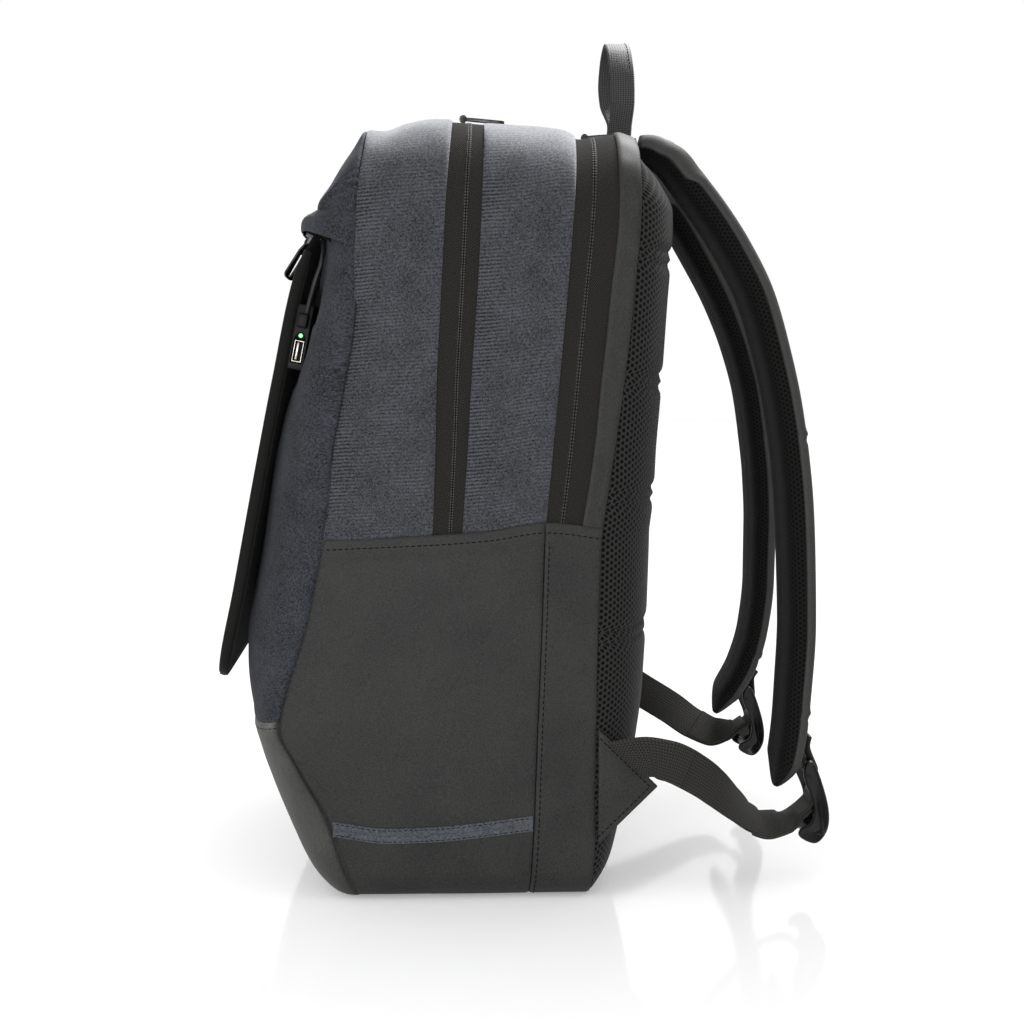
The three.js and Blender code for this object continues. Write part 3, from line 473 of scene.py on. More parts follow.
def lattice(surface, us, vs):
    """Points of a surface on a grid of shares."""
    u, v = np.meshgrid(us, vs, indexing="ij")
    return surface(u, v), u, v


def normals_of(points, inside):
    """Outward normals of a grid of points."""
    out = unit(np.cross(np.gradient(points, axis=0), np.gradient(points, axis=1)))
    facing = np.sum(out * (points - inside), -1).mean()
    return out if facing > 0 else -out


def runs_of(points, axis):
    """Length along the grid lines of one axis, from their start."""
    step = np.linalg.norm(np.diff(points, axis=axis), axis=-1)
    start = np.zeros_like(np.take(step, [0], axis))
    return np.concatenate([start, np.cumsum(step, axis)], axis)


def line_at(points, run, at):
    """Points of a line at given lengths along it."""
    return np.stack([np.interp(at, run, points[:, k]) for k in range(3)], -1)


def placed(name, data):
    """New object in the scene."""
    made = bpy.data.objects.new(name, data)
    bpy.context.scene.collection.objects.link(made)
    return made


def dressed(piece, nodes=(), body=BODY):
    """Piece riding on a body, in place of the solids of some nodes."""
    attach(piece, body)
    if nodes:
        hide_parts(*nodes)
    return piece


def mesh_piece(name, vertices, faces, uvs, material, nodes=()):
    """New smooth piece of the bag from vertices in millimetres."""
    mesh = bpy.data.meshes.new(name)
    mesh.from_pydata((np.asarray(vertices) * MM).tolist(), [], [tuple(map(int, face)) for face in faces])
    if uvs is not None:
        layer = mesh.uv_layers.new(name="UVMap")
        index = np.empty(len(mesh.loops), dtype=np.int32)
        mesh.loops.foreach_get("vertex_index", index)
        layer.data.foreach_set("uv", (np.asarray(uvs) * MM)[index].astype(np.float32).ravel())
    mesh.polygons.foreach_set("use_smooth", [True] * len(mesh.polygons))
    mesh.materials.append(material)
    mesh.update()
    return dressed(placed(name, mesh), nodes)


def grid_faces(columns, rows, closed=False):
    """Quads of a grid stored column by column."""
    i, j = np.meshgrid(np.arange(columns - 1), np.arange(rows if closed else rows - 1), indexing="ij")
    next_j = (j + 1) % rows
    quads = np.stack([i * rows + j, (i + 1) * rows + j, (i + 1) * rows + next_j, i * rows + next_j], -1)
    return quads.reshape(-1, 4)


def outward(vertices, faces, inside):
    """Faces turned so that most of them look away from the inside point."""
    corner = vertices[faces[:, :3]]
    looks = np.cross(corner[:, 1] - corner[:, 0], corner[:, 2] - corner[:, 0])
    away = np.sum(looks * (corner.mean(1) - inside)).item()
    return faces if away > 0 else faces[:, ::-1]


def panel(name, surface, size, step, slot, nodes, roll="lrbt", tuck=1.1, roll_wide=4.0, skirt=2.0,
          relief=None, lift=0.0, inside=CORE, material=None):
    """Cloth panel with rolled edges: borders in roll sink by tuck, and a skirt closes every border inward."""
    points, u, v = lattice(surface, edged(size[0], step), edged(size[1], step))
    normal = normals_of(points, inside)
    along_u, along_v = runs_of(points, 0), runs_of(points, 1)
    border = {"l": along_u, "r": along_u[-1:] - along_u, "b": along_v, "t": along_v[:, -1:] - along_v}
    sink = np.zeros(points.shape[:2])
    for side in roll:
        near = 1 - np.clip(border[side] / roll_wide, 0, 1)
        sink = np.maximum(sink, tuck * near**2)
    height = lift - sink
    if relief is not None:
        height = height + relief(u, v, points)
    points = points + normal * height[..., None]
    columns, rows = points.shape[:2]
    ring = np.concatenate([
        np.arange(columns) * rows,
        (columns - 1) * rows + np.arange(1, rows),
        np.arange(columns - 2, -1, -1) * rows + rows - 1,
        np.arange(rows - 2, 0, -1),
    ])
    flat = points.reshape(-1, 3)
    flat_normal = normal.reshape(-1, 3)
    vertices = np.concatenate([flat, flat[ring] - flat_normal[ring] * skirt])
    faces = outward(vertices, grid_faces(columns, rows), np.asarray(inside))
    second = len(flat) + np.arange(len(ring))
    rim = np.stack([ring, np.roll(ring, -1), np.roll(second, -1), second], -1)
    turned = np.array_equal(faces, grid_faces(columns, rows))
    faces = np.concatenate([faces, rim[:, ::-1] if turned else rim])
    uv = np.stack([along_u, along_v], -1).reshape(-1, 2)
    uvs = np.concatenate([uv, uv[ring]])
    return mesh_piece(name, vertices, faces, uvs, material or LOOKS[slot], nodes)


def loop_piece(name, sections, slot, nodes=(), material=None):
    """Closed body through a row of closed outlines, with its ends filled."""
    sections = np.asarray(sections)
    count, around = sections.shape[:2]
    vertices = sections.reshape(-1, 3)
    faces = outward_loop(vertices, count, around)
    closed = np.concatenate([sections, sections[:, :1]], 1)
    girth = runs_of(closed, 1)[:, :-1]
    length = runs_of(sections, 0)
    uv = np.stack([girth, length.mean(1, keepdims=True) + 0 * girth], -1).reshape(-1, 2)
    return mesh_piece(name, vertices, faces, uv, material or LOOKS[slot], nodes)


def outward_loop(vertices, count, around):
    """Faces of a closed loft with filled ends, looking out."""
    sides = [tuple(face) for face in grid_faces(count, around, closed=True)]
    ends = [tuple(range(around)), tuple(range((count - 1) * around, count * around))[::-1]]
    middle = vertices.reshape(count, around, 3).mean(1)
    quads = np.array(sides)
    corner = vertices[quads]
    looks = np.cross(corner[:, 1] - corner[:, 0], corner[:, 3] - corner[:, 0])
    spine = middle[quads[:, 0] // around]
    if np.sum(looks * (corner.mean(1) - spine)) < 0:
        return [face[::-1] for face in sides] + ends
    return sides + [face[::-1] for face in ends]


CORNER_STEPS = 3


def rounded(width, thick, corner):
    """Outline of a flat rounded section, in millimetres along its across and flat directions."""
    out = []
    for sx, sy, start in ((1, -1, -90), (1, 1, 0), (-1, 1, 90), (-1, -1, 180)):
        for k in range(CORNER_STEPS + 1):
            turn = math.radians(start + 90 * k / CORNER_STEPS)
            x = sx * (width / 2 - corner) + corner * math.cos(turn)
            y = sy * (thick / 2 - corner) + corner * math.sin(turn)
            out.append((x, y))
    return np.array(out)


def along_rows(rows, count, columns="x y z"):
    """Columns of a table read evenly along its row numbers, as arrays."""
    k = np.arange(len(rows["x"]), dtype=float)
    numbered = dict(rows, k=k)
    at = np.linspace(0, k[-1], count)
    return [read(numbered, "k", column, at) for column in columns.split()]


def even(points, others, count):
    """A line and its other columns taken at even steps of length."""
    run = runs_of(points, 0)
    at = np.linspace(0, run[-1], count)
    return line_at(points, run, at), [np.interp(at, run, other) for other in others]


SLANT_REACH = 28
WEB_CORNER = 0.9
WEB_ROUNDNESS = 0.46


def ribbon(name, points, wide, width, thick, slot, nodes=(), side=1, material=None, slant=0.0):
    """Webbing of a flat rounded section along a line, across a direction; its start may be cut on a slant."""
    ahead = unit(np.gradient(points, axis=0))
    wide = unit(wide - ahead * np.sum(wide * ahead, -1, keepdims=True))
    flat = np.cross(ahead, wide)
    outline = np.roll(rounded(width, thick, min(thick * WEB_ROUNDNESS, WEB_CORNER)), -1, 0)
    sections = points[:, None] + wide[:, None] * outline[None, :, :1] + flat[:, None] * outline[None, :, 1:]
    fade = np.clip(1 - runs_of(points, 0) / SLANT_REACH, 0, 1)
    sections = sections - slant * ahead[:, None] * fade[:, None, None] * outline[None, :, :1]
    sections = sections * np.array((side, 1, 1))
    return loop_piece(name, sections, slot, nodes, material)


SMALL_SHARE = 1e-3


def surface_line(surface, u, v, lift):
    """Points lifted off a surface along a line of shares, and the outward normals there."""
    u, v = np.broadcast_arrays(np.asarray(u, float), np.asarray(v, float))
    before_u, after_u = (np.clip(u + step, 0, 1) for step in (-SMALL_SHARE, SMALL_SHARE))
    before_v, after_v = (np.clip(v + step, 0, 1) for step in (-SMALL_SHARE, SMALL_SHARE))
    du = surface(after_u, v) - surface(before_u, v)
    dv = surface(u, after_v) - surface(u, before_v)
    normal = unit(np.cross(du, dv))
    points = surface(u, v)
    normal = np.where(np.sum(normal * (points - CORE), -1, keepdims=True) < 0, -normal, normal)
    return points + normal * lift, normal


# One stitch: a tip, two rings of four points and a tip
STITCH_SHAPE = np.array(
    [(-0.5, 0, 0.2)]
    + [(x, y, z) for x in (-0.32, 0.32) for y, z in ((1, 0), (0, 1), (-1, 0), (0, -1))]
    + [(0.5, 0, 0.2)]
)
STITCH_FACES = (
    [(0, 1 + (k + 1) % 4, 1 + k) for k in range(4)]
    + [(1 + k, 1 + (k + 1) % 4, 5 + (k + 1) % 4, 5 + k) for k in range(4)]
    + [(9, 5 + k, 5 + (k + 1) % 4) for k in range(4)]
)
STITCH_REACH = 0.2


def stitches(name, lines, pitch=3.6, length=2.7, thick=0.33):
    """Rows of sewn stitches along lines of points and normals."""
    vertices, faces = [], []
    for points, normal in lines:
        run = runs_of(points, 0)
        at = np.arange(pitch / 2, run[-1], pitch)
        place = line_at(points, run, at)
        up = unit(line_at(normal, run, at))
        ahead = unit(line_at(points, run, at + STITCH_REACH) - line_at(points, run, at - STITCH_REACH))
        beside = np.cross(up, ahead)
        shape = STITCH_SHAPE * np.array((length, thick, thick))
        body = (place[:, None] + ahead[:, None] * shape[None, :, :1] + beside[:, None] * shape[None, :, 1:2]
                + up[:, None] * shape[None, :, 2:])
        first = sum(len(block) for block in vertices)
        vertices.append(body.reshape(-1, 3))
        for k in range(len(at)):
            start = first + len(STITCH_SHAPE) * k
            faces.extend(tuple(start + corner for corner in face) for face in STITCH_FACES)
    return mesh_piece(name, np.concatenate(vertices), faces, None, LOOKS["thread"])


# Materials
def rgb(red, green, blue):
    """Linear colour with alpha from eight-bit screen values."""
    values = [v / 255 for v in (red, green, blue)]
    return tuple(v / 12.92 if v <= 0.04045 else ((v + 0.055) / 1.055) ** 2.4 for v in values) + (1.0,)


class Shade:
    """Builder for the nodes of one material."""

    def __init__(self, name, roughness=0.8, **sockets):
        self.material = bpy.data.materials.new(name)
        self.material.use_nodes = True
        self.tree = self.material.node_tree
        self.surface = self.tree.nodes["Principled BSDF"]
        self.surface.inputs["Roughness"].default_value = roughness
        for socket, value in sockets.items():
            self.surface.inputs[socket.replace("_", " ")].default_value = value

    def node(self, kind, **settings):
        made = self.tree.nodes.new(kind)
        for key, value in settings.items():
            setattr(made, key, value)
        return made

    def put(self, socket, value):
        if isinstance(value, bpy.types.NodeSocket):
            self.tree.links.new(value, socket)
        else:
            socket.default_value = value

    def math(self, operation, a, b=0.0, c=0.0):
        made = self.node("ShaderNodeMath", operation=operation)
        for socket, value in zip(made.inputs, (a, b, c)):
            self.put(socket, value)
        return made.outputs[0]

    def times(self, a, b):
        return self.math("MULTIPLY", a, b)

    def weighed(self, a, share_a, b, share_b):
        """Sum of two values by their shares."""
        return self.math("MULTIPLY_ADD", a, share_a, self.times(b, share_b))

    def cloth(self):
        """Millimetres across and along the cloth, from its own UV map."""
        parts = self.node("ShaderNodeSeparateXYZ")
        self.put(parts.inputs[0], self.node("ShaderNodeTexCoord").outputs["UV"])
        return self.times(parts.outputs[0], 1 / MM), self.times(parts.outputs[1], 1 / MM)

    def vector(self, x, y, z=0.0):
        made = self.node("ShaderNodeCombineXYZ")
        for socket, value in zip(made.inputs, (x, y, z)):
            self.put(socket, value)
        return made.outputs[0]

    def object_place(self):
        """Millimetres in the object's own frame."""
        made = self.node("ShaderNodeVectorMath", operation="SCALE")
        self.put(made.inputs[0], self.node("ShaderNodeTexCoord").outputs["Object"])
        self.put(made.inputs["Scale"], 1 / MM)
        return made.outputs[0]

    def noise(self, place, size, detail=2.0, roughness=0.5):
        """Noise with features of about a size in millimetres."""
        made = self.node("ShaderNodeTexNoise")
        self.put(made.inputs["Vector"], place)
        self.put(made.inputs["Scale"], 1.0 / size)
        self.put(made.inputs["Detail"], detail)
        self.put(made.inputs["Roughness"], roughness)
        return made.outputs[0]

    def speckle(self, u, v, size):
        """A random value for each small square of the cloth."""
        made = self.node("ShaderNodeTexWhiteNoise", noise_dimensions="2D")
        cells = [self.math("FLOOR", self.times(place, 1.0 / size)) for place in (u, v)]
        self.put(made.inputs["Vector"], self.vector(*cells))
        return made.outputs["Value"]

    def wave(self, value, pitch):
        """Sine of a place in millimetres, from 0 to 1."""
        turn = self.times(value, 2 * math.pi / pitch)
        return self.math("MULTIPLY_ADD", self.math("SINE", turn), 0.5, 0.5)

    def span(self, value, low, high):
        """Value taken from low..high to 0..1, clamped."""
        made = self.node("ShaderNodeMapRange")
        for socket, part in zip(made.inputs, (value, low, high, 0.0, 1.0)):
            self.put(socket, part)
        return made.outputs[0]

    def blend(self, share, a, b):
        made = self.node("ShaderNodeMix", data_type="RGBA")
        self.put(made.inputs["Factor"], share)
        self.put(made.inputs[6], a)
        self.put(made.inputs[7], b)
        return made.outputs[2]

    def colour(self, value):
        self.put(self.surface.inputs["Base Color"], value)

    def rough(self, share, low, high):
        made = self.math("MULTIPLY_ADD", share, high - low, low)
        self.put(self.surface.inputs["Roughness"], made)

    def bump(self, height, distance):
        """Relief of a height from 0 to 1 that stands distance millimetres tall."""
        made = self.node("ShaderNodeBump")
        self.put(made.inputs["Strength"], 1.0)
        self.put(made.inputs["Distance"], distance * MM)
        self.put(made.inputs["Height"], height)
        self.put(self.surface.inputs["Normal"], made.outputs[0])


THREAD_SIZE = 0.52
THREAD_STRETCH = 0.3
FLECK_SIZE = 0.75
RIB_PITCH = 2.15
RIB_WAVER = 1.2
RIB_EDGE = (28, 6)


def woven(name, dark, light, ribs=0.0, sheen=0.1):
    """Heather cloth of short crossing threads, with optional patches of ribs across its run."""
    shade = Shade(name, 0.9, Sheen_Weight=sheen, Sheen_Roughness=0.5, Specular_IOR_Level=0.1)
    u, v = shade.cloth()
    place = shade.vector(u, v)
    warp = shade.noise(shade.vector(u, shade.times(v, THREAD_STRETCH)), THREAD_SIZE, detail=1.0)
    weft = shade.noise(shade.vector(shade.times(u, THREAD_STRETCH), v), THREAD_SIZE, detail=1.0)
    threads = shade.weighed(warp, 0.45, weft, 0.55)
    fleck = shade.speckle(u, v, FLECK_SIZE)
    cloudy = shade.noise(place, size=24, detail=3.0)
    tone = shade.weighed(cloudy, 0.2, threads, 0.6)
    tone = shade.math("MULTIPLY_ADD", fleck, 0.16, shade.math("ADD", tone, 0.02))
    if ribs:
        near_seam = shade.times(shade.span(u, *RIB_EDGE), shade.span(shade.noise(place, size=42), 0.4, 0.52))
        patch = shade.times(shade.span(cloudy, 0.4, 0.62), 0.55)
        strength = shade.times(shade.math("MAXIMUM", near_seam, patch), ribs)
        waver = shade.math("MULTIPLY_ADD", shade.noise(place, size=16, detail=1.0), RIB_WAVER, v)
        rib = shade.times(shade.math("SUBTRACT", shade.wave(waver, RIB_PITCH), 0.5), strength)
        tone = shade.math("ADD", tone, rib)
    shade.colour(shade.blend(shade.span(tone, 0.34, 0.66), dark, light))
    shade.bump(tone, 0.14)
    return shade.material


def coated(name, dark, light):
    """Matte coated cloth with a fine leather-like grain."""
    shade = Shade(name, 0.55, Specular_IOR_Level=0.2)
    place = shade.object_place()
    grain = shade.noise(place, size=0.9, detail=3.0, roughness=0.6)
    drift = shade.noise(place, size=38, detail=3.0)
    tone = shade.weighed(grain, 0.7, drift, 0.3)
    shade.colour(shade.blend(shade.span(tone, 0.38, 0.62), dark, light))
    shade.rough(drift, 0.54, 0.68)
    shade.bump(grain, 0.09)
    return shade.material


def twill(name, dark, light, pitch):
    """Narrow tape with a fine slanted weave."""
    shade = Shade(name, 0.9, Specular_IOR_Level=0.06)
    u, v = shade.cloth()
    slant = shade.wave(shade.math("ADD", u, v), pitch)
    fuzz = shade.noise(shade.vector(u, v), size=0.8)
    tone = shade.weighed(fuzz, 0.6, slant, 0.4)
    shade.colour(shade.blend(shade.span(tone, 0.25, 0.75), dark, light))
    shade.bump(tone, 0.25)
    return shade.material


def air_mesh(name, hole_shade, thread, across=5.5, along=3.7, radius=1.22, sheen=0.05):
    """Spacer mesh: two lattices of round holes, one shifted by half a cell; the holes take a near-black
    colour as painted shade in their depth.
    """
    shade = Shade(name, 0.9, Sheen_Weight=sheen, Specular_IOR_Level=0.08)
    u, v = shade.cloth()
    reach = []
    for shift in (0.0, 0.5):
        a = shade.math("FRACT", shade.math("MULTIPLY_ADD", u, 1 / across, shift))
        b = shade.math("FRACT", shade.math("MULTIPLY_ADD", v, 1 / along, shift))
        da = shade.times(shade.math("SUBTRACT", a, 0.5), across)
        db = shade.times(shade.math("SUBTRACT", b, 0.5), along)
        reach.append(shade.math("SQRT", shade.weighed(da, da, db, db)))
    nearest = shade.math("MINIMUM", *reach)
    solid = shade.span(nearest, radius * 0.82, radius * 1.12)
    knit = shade.noise(shade.vector(u, v), size=0.7)
    lit = shade.blend(shade.span(knit, 0.3, 0.7), [0.72 * c for c in thread[:3]] + [1.0], thread)
    # Near-black holes: painted shade deep in the mesh
    shade.colour(shade.blend(solid, hole_shade, lit))
    shade.bump(shade.math("MULTIPLY_ADD", knit, 0.25, solid), 0.7)
    return shade.material


def ribbed(name, dark, light, pitch=1.9, cross=1.5):
    """Woven strap with ribs along its length and fine picks across."""
    shade = Shade(name, 0.75, Sheen_Weight=0.05, Specular_IOR_Level=0.12)
    u, v = shade.cloth()
    rib = shade.wave(u, pitch)
    across = shade.wave(shade.math("ADD", v, shade.times(rib, cross * 0.5)), cross)
    fuzz = shade.noise(shade.vector(u, v), size=0.6)
    tone = shade.math("MULTIPLY_ADD", across, 0.5, shade.weighed(rib, 0.25, fuzz, 0.25))
    shade.colour(shade.blend(shade.span(tone, 0.2, 0.85), dark, light))
    shade.bump(tone, 0.3)
    return shade.material


MOULD_GRAIN = 0.02


def moulded(name, base, worn, low, high, **sockets):
    """Hard plastic, rubber or metal with faint wear in its gloss and colour."""
    shade = Shade(name, low, **sockets)
    place = shade.object_place()
    scuff = shade.noise(place, size=6, detail=4.0, roughness=0.6)
    shade.colour(shade.blend(shade.span(scuff, 0.4, 0.75), base, worn))
    shade.rough(scuff, low, high)
    shade.bump(shade.noise(place, size=0.5), MOULD_GRAIN)
    return shade.material


def glowing(name, core, rim, strength):
    """Small lit lens: pale in its middle, coloured towards its rim."""
    shade = Shade(name, 0.35, Emission_Strength=strength)
    off = shade.node("ShaderNodeVectorMath", operation="DISTANCE")
    shade.put(off.inputs[0], shade.node("ShaderNodeTexCoord").outputs["Generated"])
    shade.put(off.inputs[1], (0.5, 0.5, 0.5))
    tint = shade.blend(shade.span(off.outputs["Value"], 0.42, 0.62), core, rim)
    shade.colour(tint)
    shade.put(shade.surface.inputs["Emission Color"], tint)
    return shade.material


def plastic(name, base, worn, low, high, shine):
    """Moulded plastic, rubber or thread with a level of shine."""
    return moulded(name, rgb(*base), rgb(*worn), low, high, Specular_IOR_Level=shine)


def metal(name, base, worn, low, high):
    """Moulded metal."""
    return moulded(name, rgb(*base), rgb(*worn), low, high, Metallic=1.0)


LOOKS = {
    "front_fabric": woven("front_cloth", rgb(13, 14, 16), rgb(57, 60, 66), sheen=0.02),
    "side_fabric": woven("side_cloth", rgb(20, 21, 23), rgb(68, 70, 75), ribs=0.24),
    "stripe_fabric": woven("stripe_cloth", rgb(36, 38, 41), rgb(78, 82, 87)),
    "coated": coated("coated_cloth", rgb(18, 19, 18), rgb(39, 40, 38)),
    # Strap cover: the same coated cloth in lighter colours, as painted light on the straps
    "strap_coated_painted_light": coated("strap_coated_cloth", rgb(33, 34, 33), rgb(46, 47, 45)),
    "zip_tape": twill("zip_tape_cloth", rgb(8, 8, 7), rgb(45, 43, 41), 1.5),
    # Both spacer meshes paint their holes near black as painted shade
    "air_mesh": air_mesh("spacer_mesh", rgb(1, 1, 1), rgb(39, 39, 38)),
    # Strap spacer mesh: a finer lattice, with threads far darker than the back pad's as painted shade on the
    # straps
    "strap_mesh_painted_shade": air_mesh("strap_spacer_mesh_painted_shade", rgb(1, 1, 1), rgb(17, 17, 16), 4.4, 3.0, 0.92, 0.02),
    "webbing": ribbed("strap_webbing", rgb(6, 6, 5), rgb(50, 49, 46)),
    # Handle webbing: finer ribs, and colours lighter than the strap webbing's as painted light on its upward
    # faces
    "handle": ribbed("handle_webbing", rgb(18, 18, 18), rgb(72, 72, 73), 1.6, 1.3),
    "binding": ribbed("flap_binding_cloth", rgb(5, 5, 5), rgb(20, 19, 17), 1.4, 1.2),
    "flap_fabric": woven("flap_cloth", rgb(4, 4, 4), rgb(14, 14, 14), sheen=0.02),
    "black_plastic": plastic("black_plastic", (9, 9, 10), (17, 17, 18), 0.34, 0.48, 0.4),
    "box_plastic": plastic("box_plastic", (5, 5, 5), (10, 10, 10), 0.42, 0.55, 0.12),
    "cable_rubber": plastic("cable_rubber", (16, 16, 16), (26, 26, 26), 0.4, 0.55, 0.3),
    "gunmetal": metal("gunmetal", (50, 50, 52), (78, 77, 76), 0.3, 0.45),
    "steel": metal("socket_steel", (150, 146, 136), (112, 108, 99), 0.25, 0.42),
    "green_light": glowing("green_light", rgb(235, 255, 225), rgb(20, 215, 75), 1.6),
    # Sewing thread; its dark colour is also laid in the zip coils' slits as painted shade
    "thread": plastic("sewing_thread", (8, 8, 8), (16, 16, 16), 0.7, 0.9, 0.1),
    # Pale zip teeth: painted highlights on the coil
    "tooth_highlight": plastic("zip_tooth", (46, 44, 42), (64, 62, 59), 0.5, 0.65, 0.3),
    "coil": plastic("zip_coil", (14, 14, 13), (32, 31, 29), 0.6, 0.75, 0.15),
}

# Bands that run up one side, over the top and down the other
BANDS = (
    # name, slot, front seam, rear seam, inset at the top, lift off the skin
    ("front_gusset", "side_fabric", "front", "main_front", 0.6, 0.3),
    ("middle_gusset", "side_fabric", "main_rear", "laptop_front", 0.0, 0.3),
    ("back_edge", "coated", "laptop_rear", "back", 0.0, 0.5),
    ("main_zip_tape", "zip_tape", "main_front", "main_rear", 0.0, -1.3),
    ("laptop_zip_tape", "zip_tape", "laptop_front", "laptop_rear", 0.0, -1.3),
)
BAND_LENGTH = 2 * (ROUND_LENGTH - run_at(HEM_MIDDLE))
UNDERLAP = 5.0
TAPE_UNDERLAP = 1.6
INSET_DROP = 80
INSET_FADE = 60


def band_surface(start, end, inset, tape):
    """Surface of one band between two seams; a tape reaches a little under its neighbours."""
    def surface(u, v):
        side = np.where(v < 0.5, 1.0, -1.0)
        climb = 1 - np.abs(2 * v - 1)
        low = mix(seam(start, HEM_MIDDLE), seam(end, HEM_MIDDLE), u)
        run = mix(run_at(read(HEM, "y", "z", low) - UNDERLAP), ROUND_LENGTH, climb)
        z = round_path(run)[1]
        reach = TAPE_UNDERLAP if tape else -GAP / 2
        near = seam(start, z) - reach + inset * ease((z - TOP + INSET_DROP) / INSET_FADE)
        far = seam(end, z) + reach
        return skin(mix(near, far, u), run, side)
    return surface


SHORT_WAVE = 0.35
SHORT_SHARE = 0.4


def cloth_relief(amplitude, length, seed):
    """Slack of stuffed cloth: long soft swells and a few shorter ones."""
    def relief(u, v, points):
        shorter = waves(points, length * SHORT_WAVE, seed + 1)
        return amplitude * (waves(points, length, seed) + SHORT_SHARE * shorter)
    return relief


# Fold from the front seam of the gusset, and the pinch where the gusset turns over to the top
FOLD_HEIGHT = 357
FOLD_SLOPE = 0.06
FOLD_REACH = 30
FOLD_FADE = 22
FOLD = table("height at wide", (1.5, 6, 5), (-2.2, 0, 2.2))
PINCH = 1.8
PINCH_X = 110
PINCH_WIDE = 16
PINCH_DROP = 40
PINCH_FADE = 25
PINCH_RIDGE = table("height at wide", (1, 0, 5), (-1.2, 13, 7))
GUSSET_SLACK = cloth_relief(amplitude=0.4, length=70, seed=0)


def gusset_relief(u, v, points):
    """Slack of the front gusset, with a fold that runs in from the front seam."""
    x, y, z = np.moveaxis(points, -1, 0)
    back = y - seam("front", z)
    fold = bells(FOLD, z - FOLD_HEIGHT - FOLD_SLOPE * back) * ease((FOLD_REACH - back) / FOLD_FADE)
    pinch = PINCH * bells(PINCH_RIDGE, back) * bell(np.abs(x) - PINCH_X, PINCH_WIDE)
    return fold + pinch * ease((z - TOP + PINCH_DROP) / PINCH_FADE) + GUSSET_SLACK(u, v, points)


BAND_RELIEF = {
    "front_gusset": gusset_relief,
    "middle_gusset": cloth_relief(amplitude=0.35, length=70, seed=10),
    "back_edge": cloth_relief(amplitude=0.5, length=48, seed=20),
}
BAND_MIDDLE = 300
for name, slot, start, end, inset, lift in BANDS:
    tape = slot == "zip_tape"
    width = float(seam(end, BAND_MIDDLE) - seam(start, BAND_MIDDLE))
    panel(
        name + "_cloth", band_surface(start, end, inset, tape),
        size=(width, BAND_LENGTH), step=3.0, slot=slot, nodes=(name,),
        roll="" if tape else "lr", tuck=0.7, roll_wide=2.6, lift=lift,
        relief=BAND_RELIEF.get(name),
    )

# Zip coils along the two arched zips
COIL_COLUMNS = np.array((-2.1, -1.8, -1.4, -1.1, -0.95, -0.4, 0.0, 0.4, 0.95, 1.1, 1.4, 1.7))
COIL_HEIGHT = np.array((-0.3, 0.0, 0.1, 0.18, 0.24, 0.2, 0.06, 0.2, 0.24, 0.18, 0.08, -0.3))
COIL_RIB = np.array((0, 0.1, 0.6, 1.2, 1.8, 1.2, 0, 1.0, 1.6, 1.0, 0.4, 0))
# Columns of faces painted dark in the slit as painted shade, and pale on the teeth as painted highlights
COIL_SLIT_SHADE = (5, 6)
COIL_HIGHLIGHT_COLUMNS = (4, 7)
COIL_WAVE = 0.15
COIL_SINK = 1.3
COIL_ENDS = (0.002, 0.998)
COIL_ASIDE = 0.01
ROWS_A_TOOTH = 4


def coil(name, surface, share, pitch):
    """Raised coil of a zip: ribs, with the teeth beside the slit painted pale as painted highlights and the
    slit painted dark as painted shade.
    """
    vs = np.linspace(*COIL_ENDS, int(BAND_LENGTH / (pitch / ROWS_A_TOOTH)))
    line = surface(share(vs), vs)
    aside = surface(share(vs) + COIL_ASIDE, vs) - line
    ahead = np.gradient(line, axis=0)
    normal = unit(np.cross(aside, ahead))
    if np.sum(normal * (line - CORE)) < 0:
        normal = -normal
    beside = unit(np.cross(ahead, normal))
    rib = COIL_WAVE * np.sin(2 * math.pi * vs * BAND_LENGTH / pitch)
    height = COIL_HEIGHT[None, :] + rib[:, None] * COIL_RIB[None, :] - COIL_SINK
    points = line[:, None] + beside[:, None] * COIL_COLUMNS[None, :, None]
    vertices = (points + normal[:, None] * height[..., None]).reshape(-1, 3)
    faces = outward(vertices, grid_faces(len(vs), len(COIL_COLUMNS)), CORE)
    piece = mesh_piece(name, vertices, faces, None, LOOKS["coil"])
    # The slit faces take the dark thread colour as painted shade, and every other row of teeth the pale
    # colour as painted highlights
    piece.data.materials.append(LOOKS["thread"])
    piece.data.materials.append(LOOKS["tooth_highlight"])
    row, column = np.divmod(np.arange(len(faces)), len(COIL_COLUMNS) - 1)
    tooth_highlight = np.isin(column, COIL_HIGHLIGHT_COLUMNS) & (row % ROWS_A_TOOTH < ROWS_A_TOOTH / 2)
    looks = np.where(np.isin(column, COIL_SLIT_SHADE), 1, np.where(tooth_highlight, 2, 0))
    piece.data.polygons.foreach_set("material_index", looks)


def coil_share(low, high):
    """Share across the tape of the coil, from the hem to the top of the arch."""
    return lambda v: mix(low, high, 1 - np.abs(2 * v - 1))


for zip_name, low, high, pitch in (("main", 0.58, 0.53, 1.55), ("laptop", 0.45, 0.43, 2.05)):
    surface = band_surface(f"{zip_name}_front", f"{zip_name}_rear", inset=0.0, tape=True)
    coil(f"{zip_name}_coil", surface, coil_share(low, high), pitch)

# Coated lower panels of each side, with the stripe
LOWER_PANELS = (
    # name, front seam, rear seam, inset at the front
    ("side_panel", "front", "middle", 1.4),
    ("rear_panel", "middle", "back", 0.0),
)
LOWER_MIDDLE = 120
HEM_LEVEL = HEM_MIDDLE - 10
HEM_STITCH = 6.0
HEM_PROUD = 0.9
HEM_SHARE = 0.94
HEM_STEP = 0.02
REAR_STITCH = 2.6
DENT = 0.8
DENT_SMALL = 0.25
DENT_LENGTHS = (120, 38)
STRIPE_STITCHES = (0.12, 0.88)


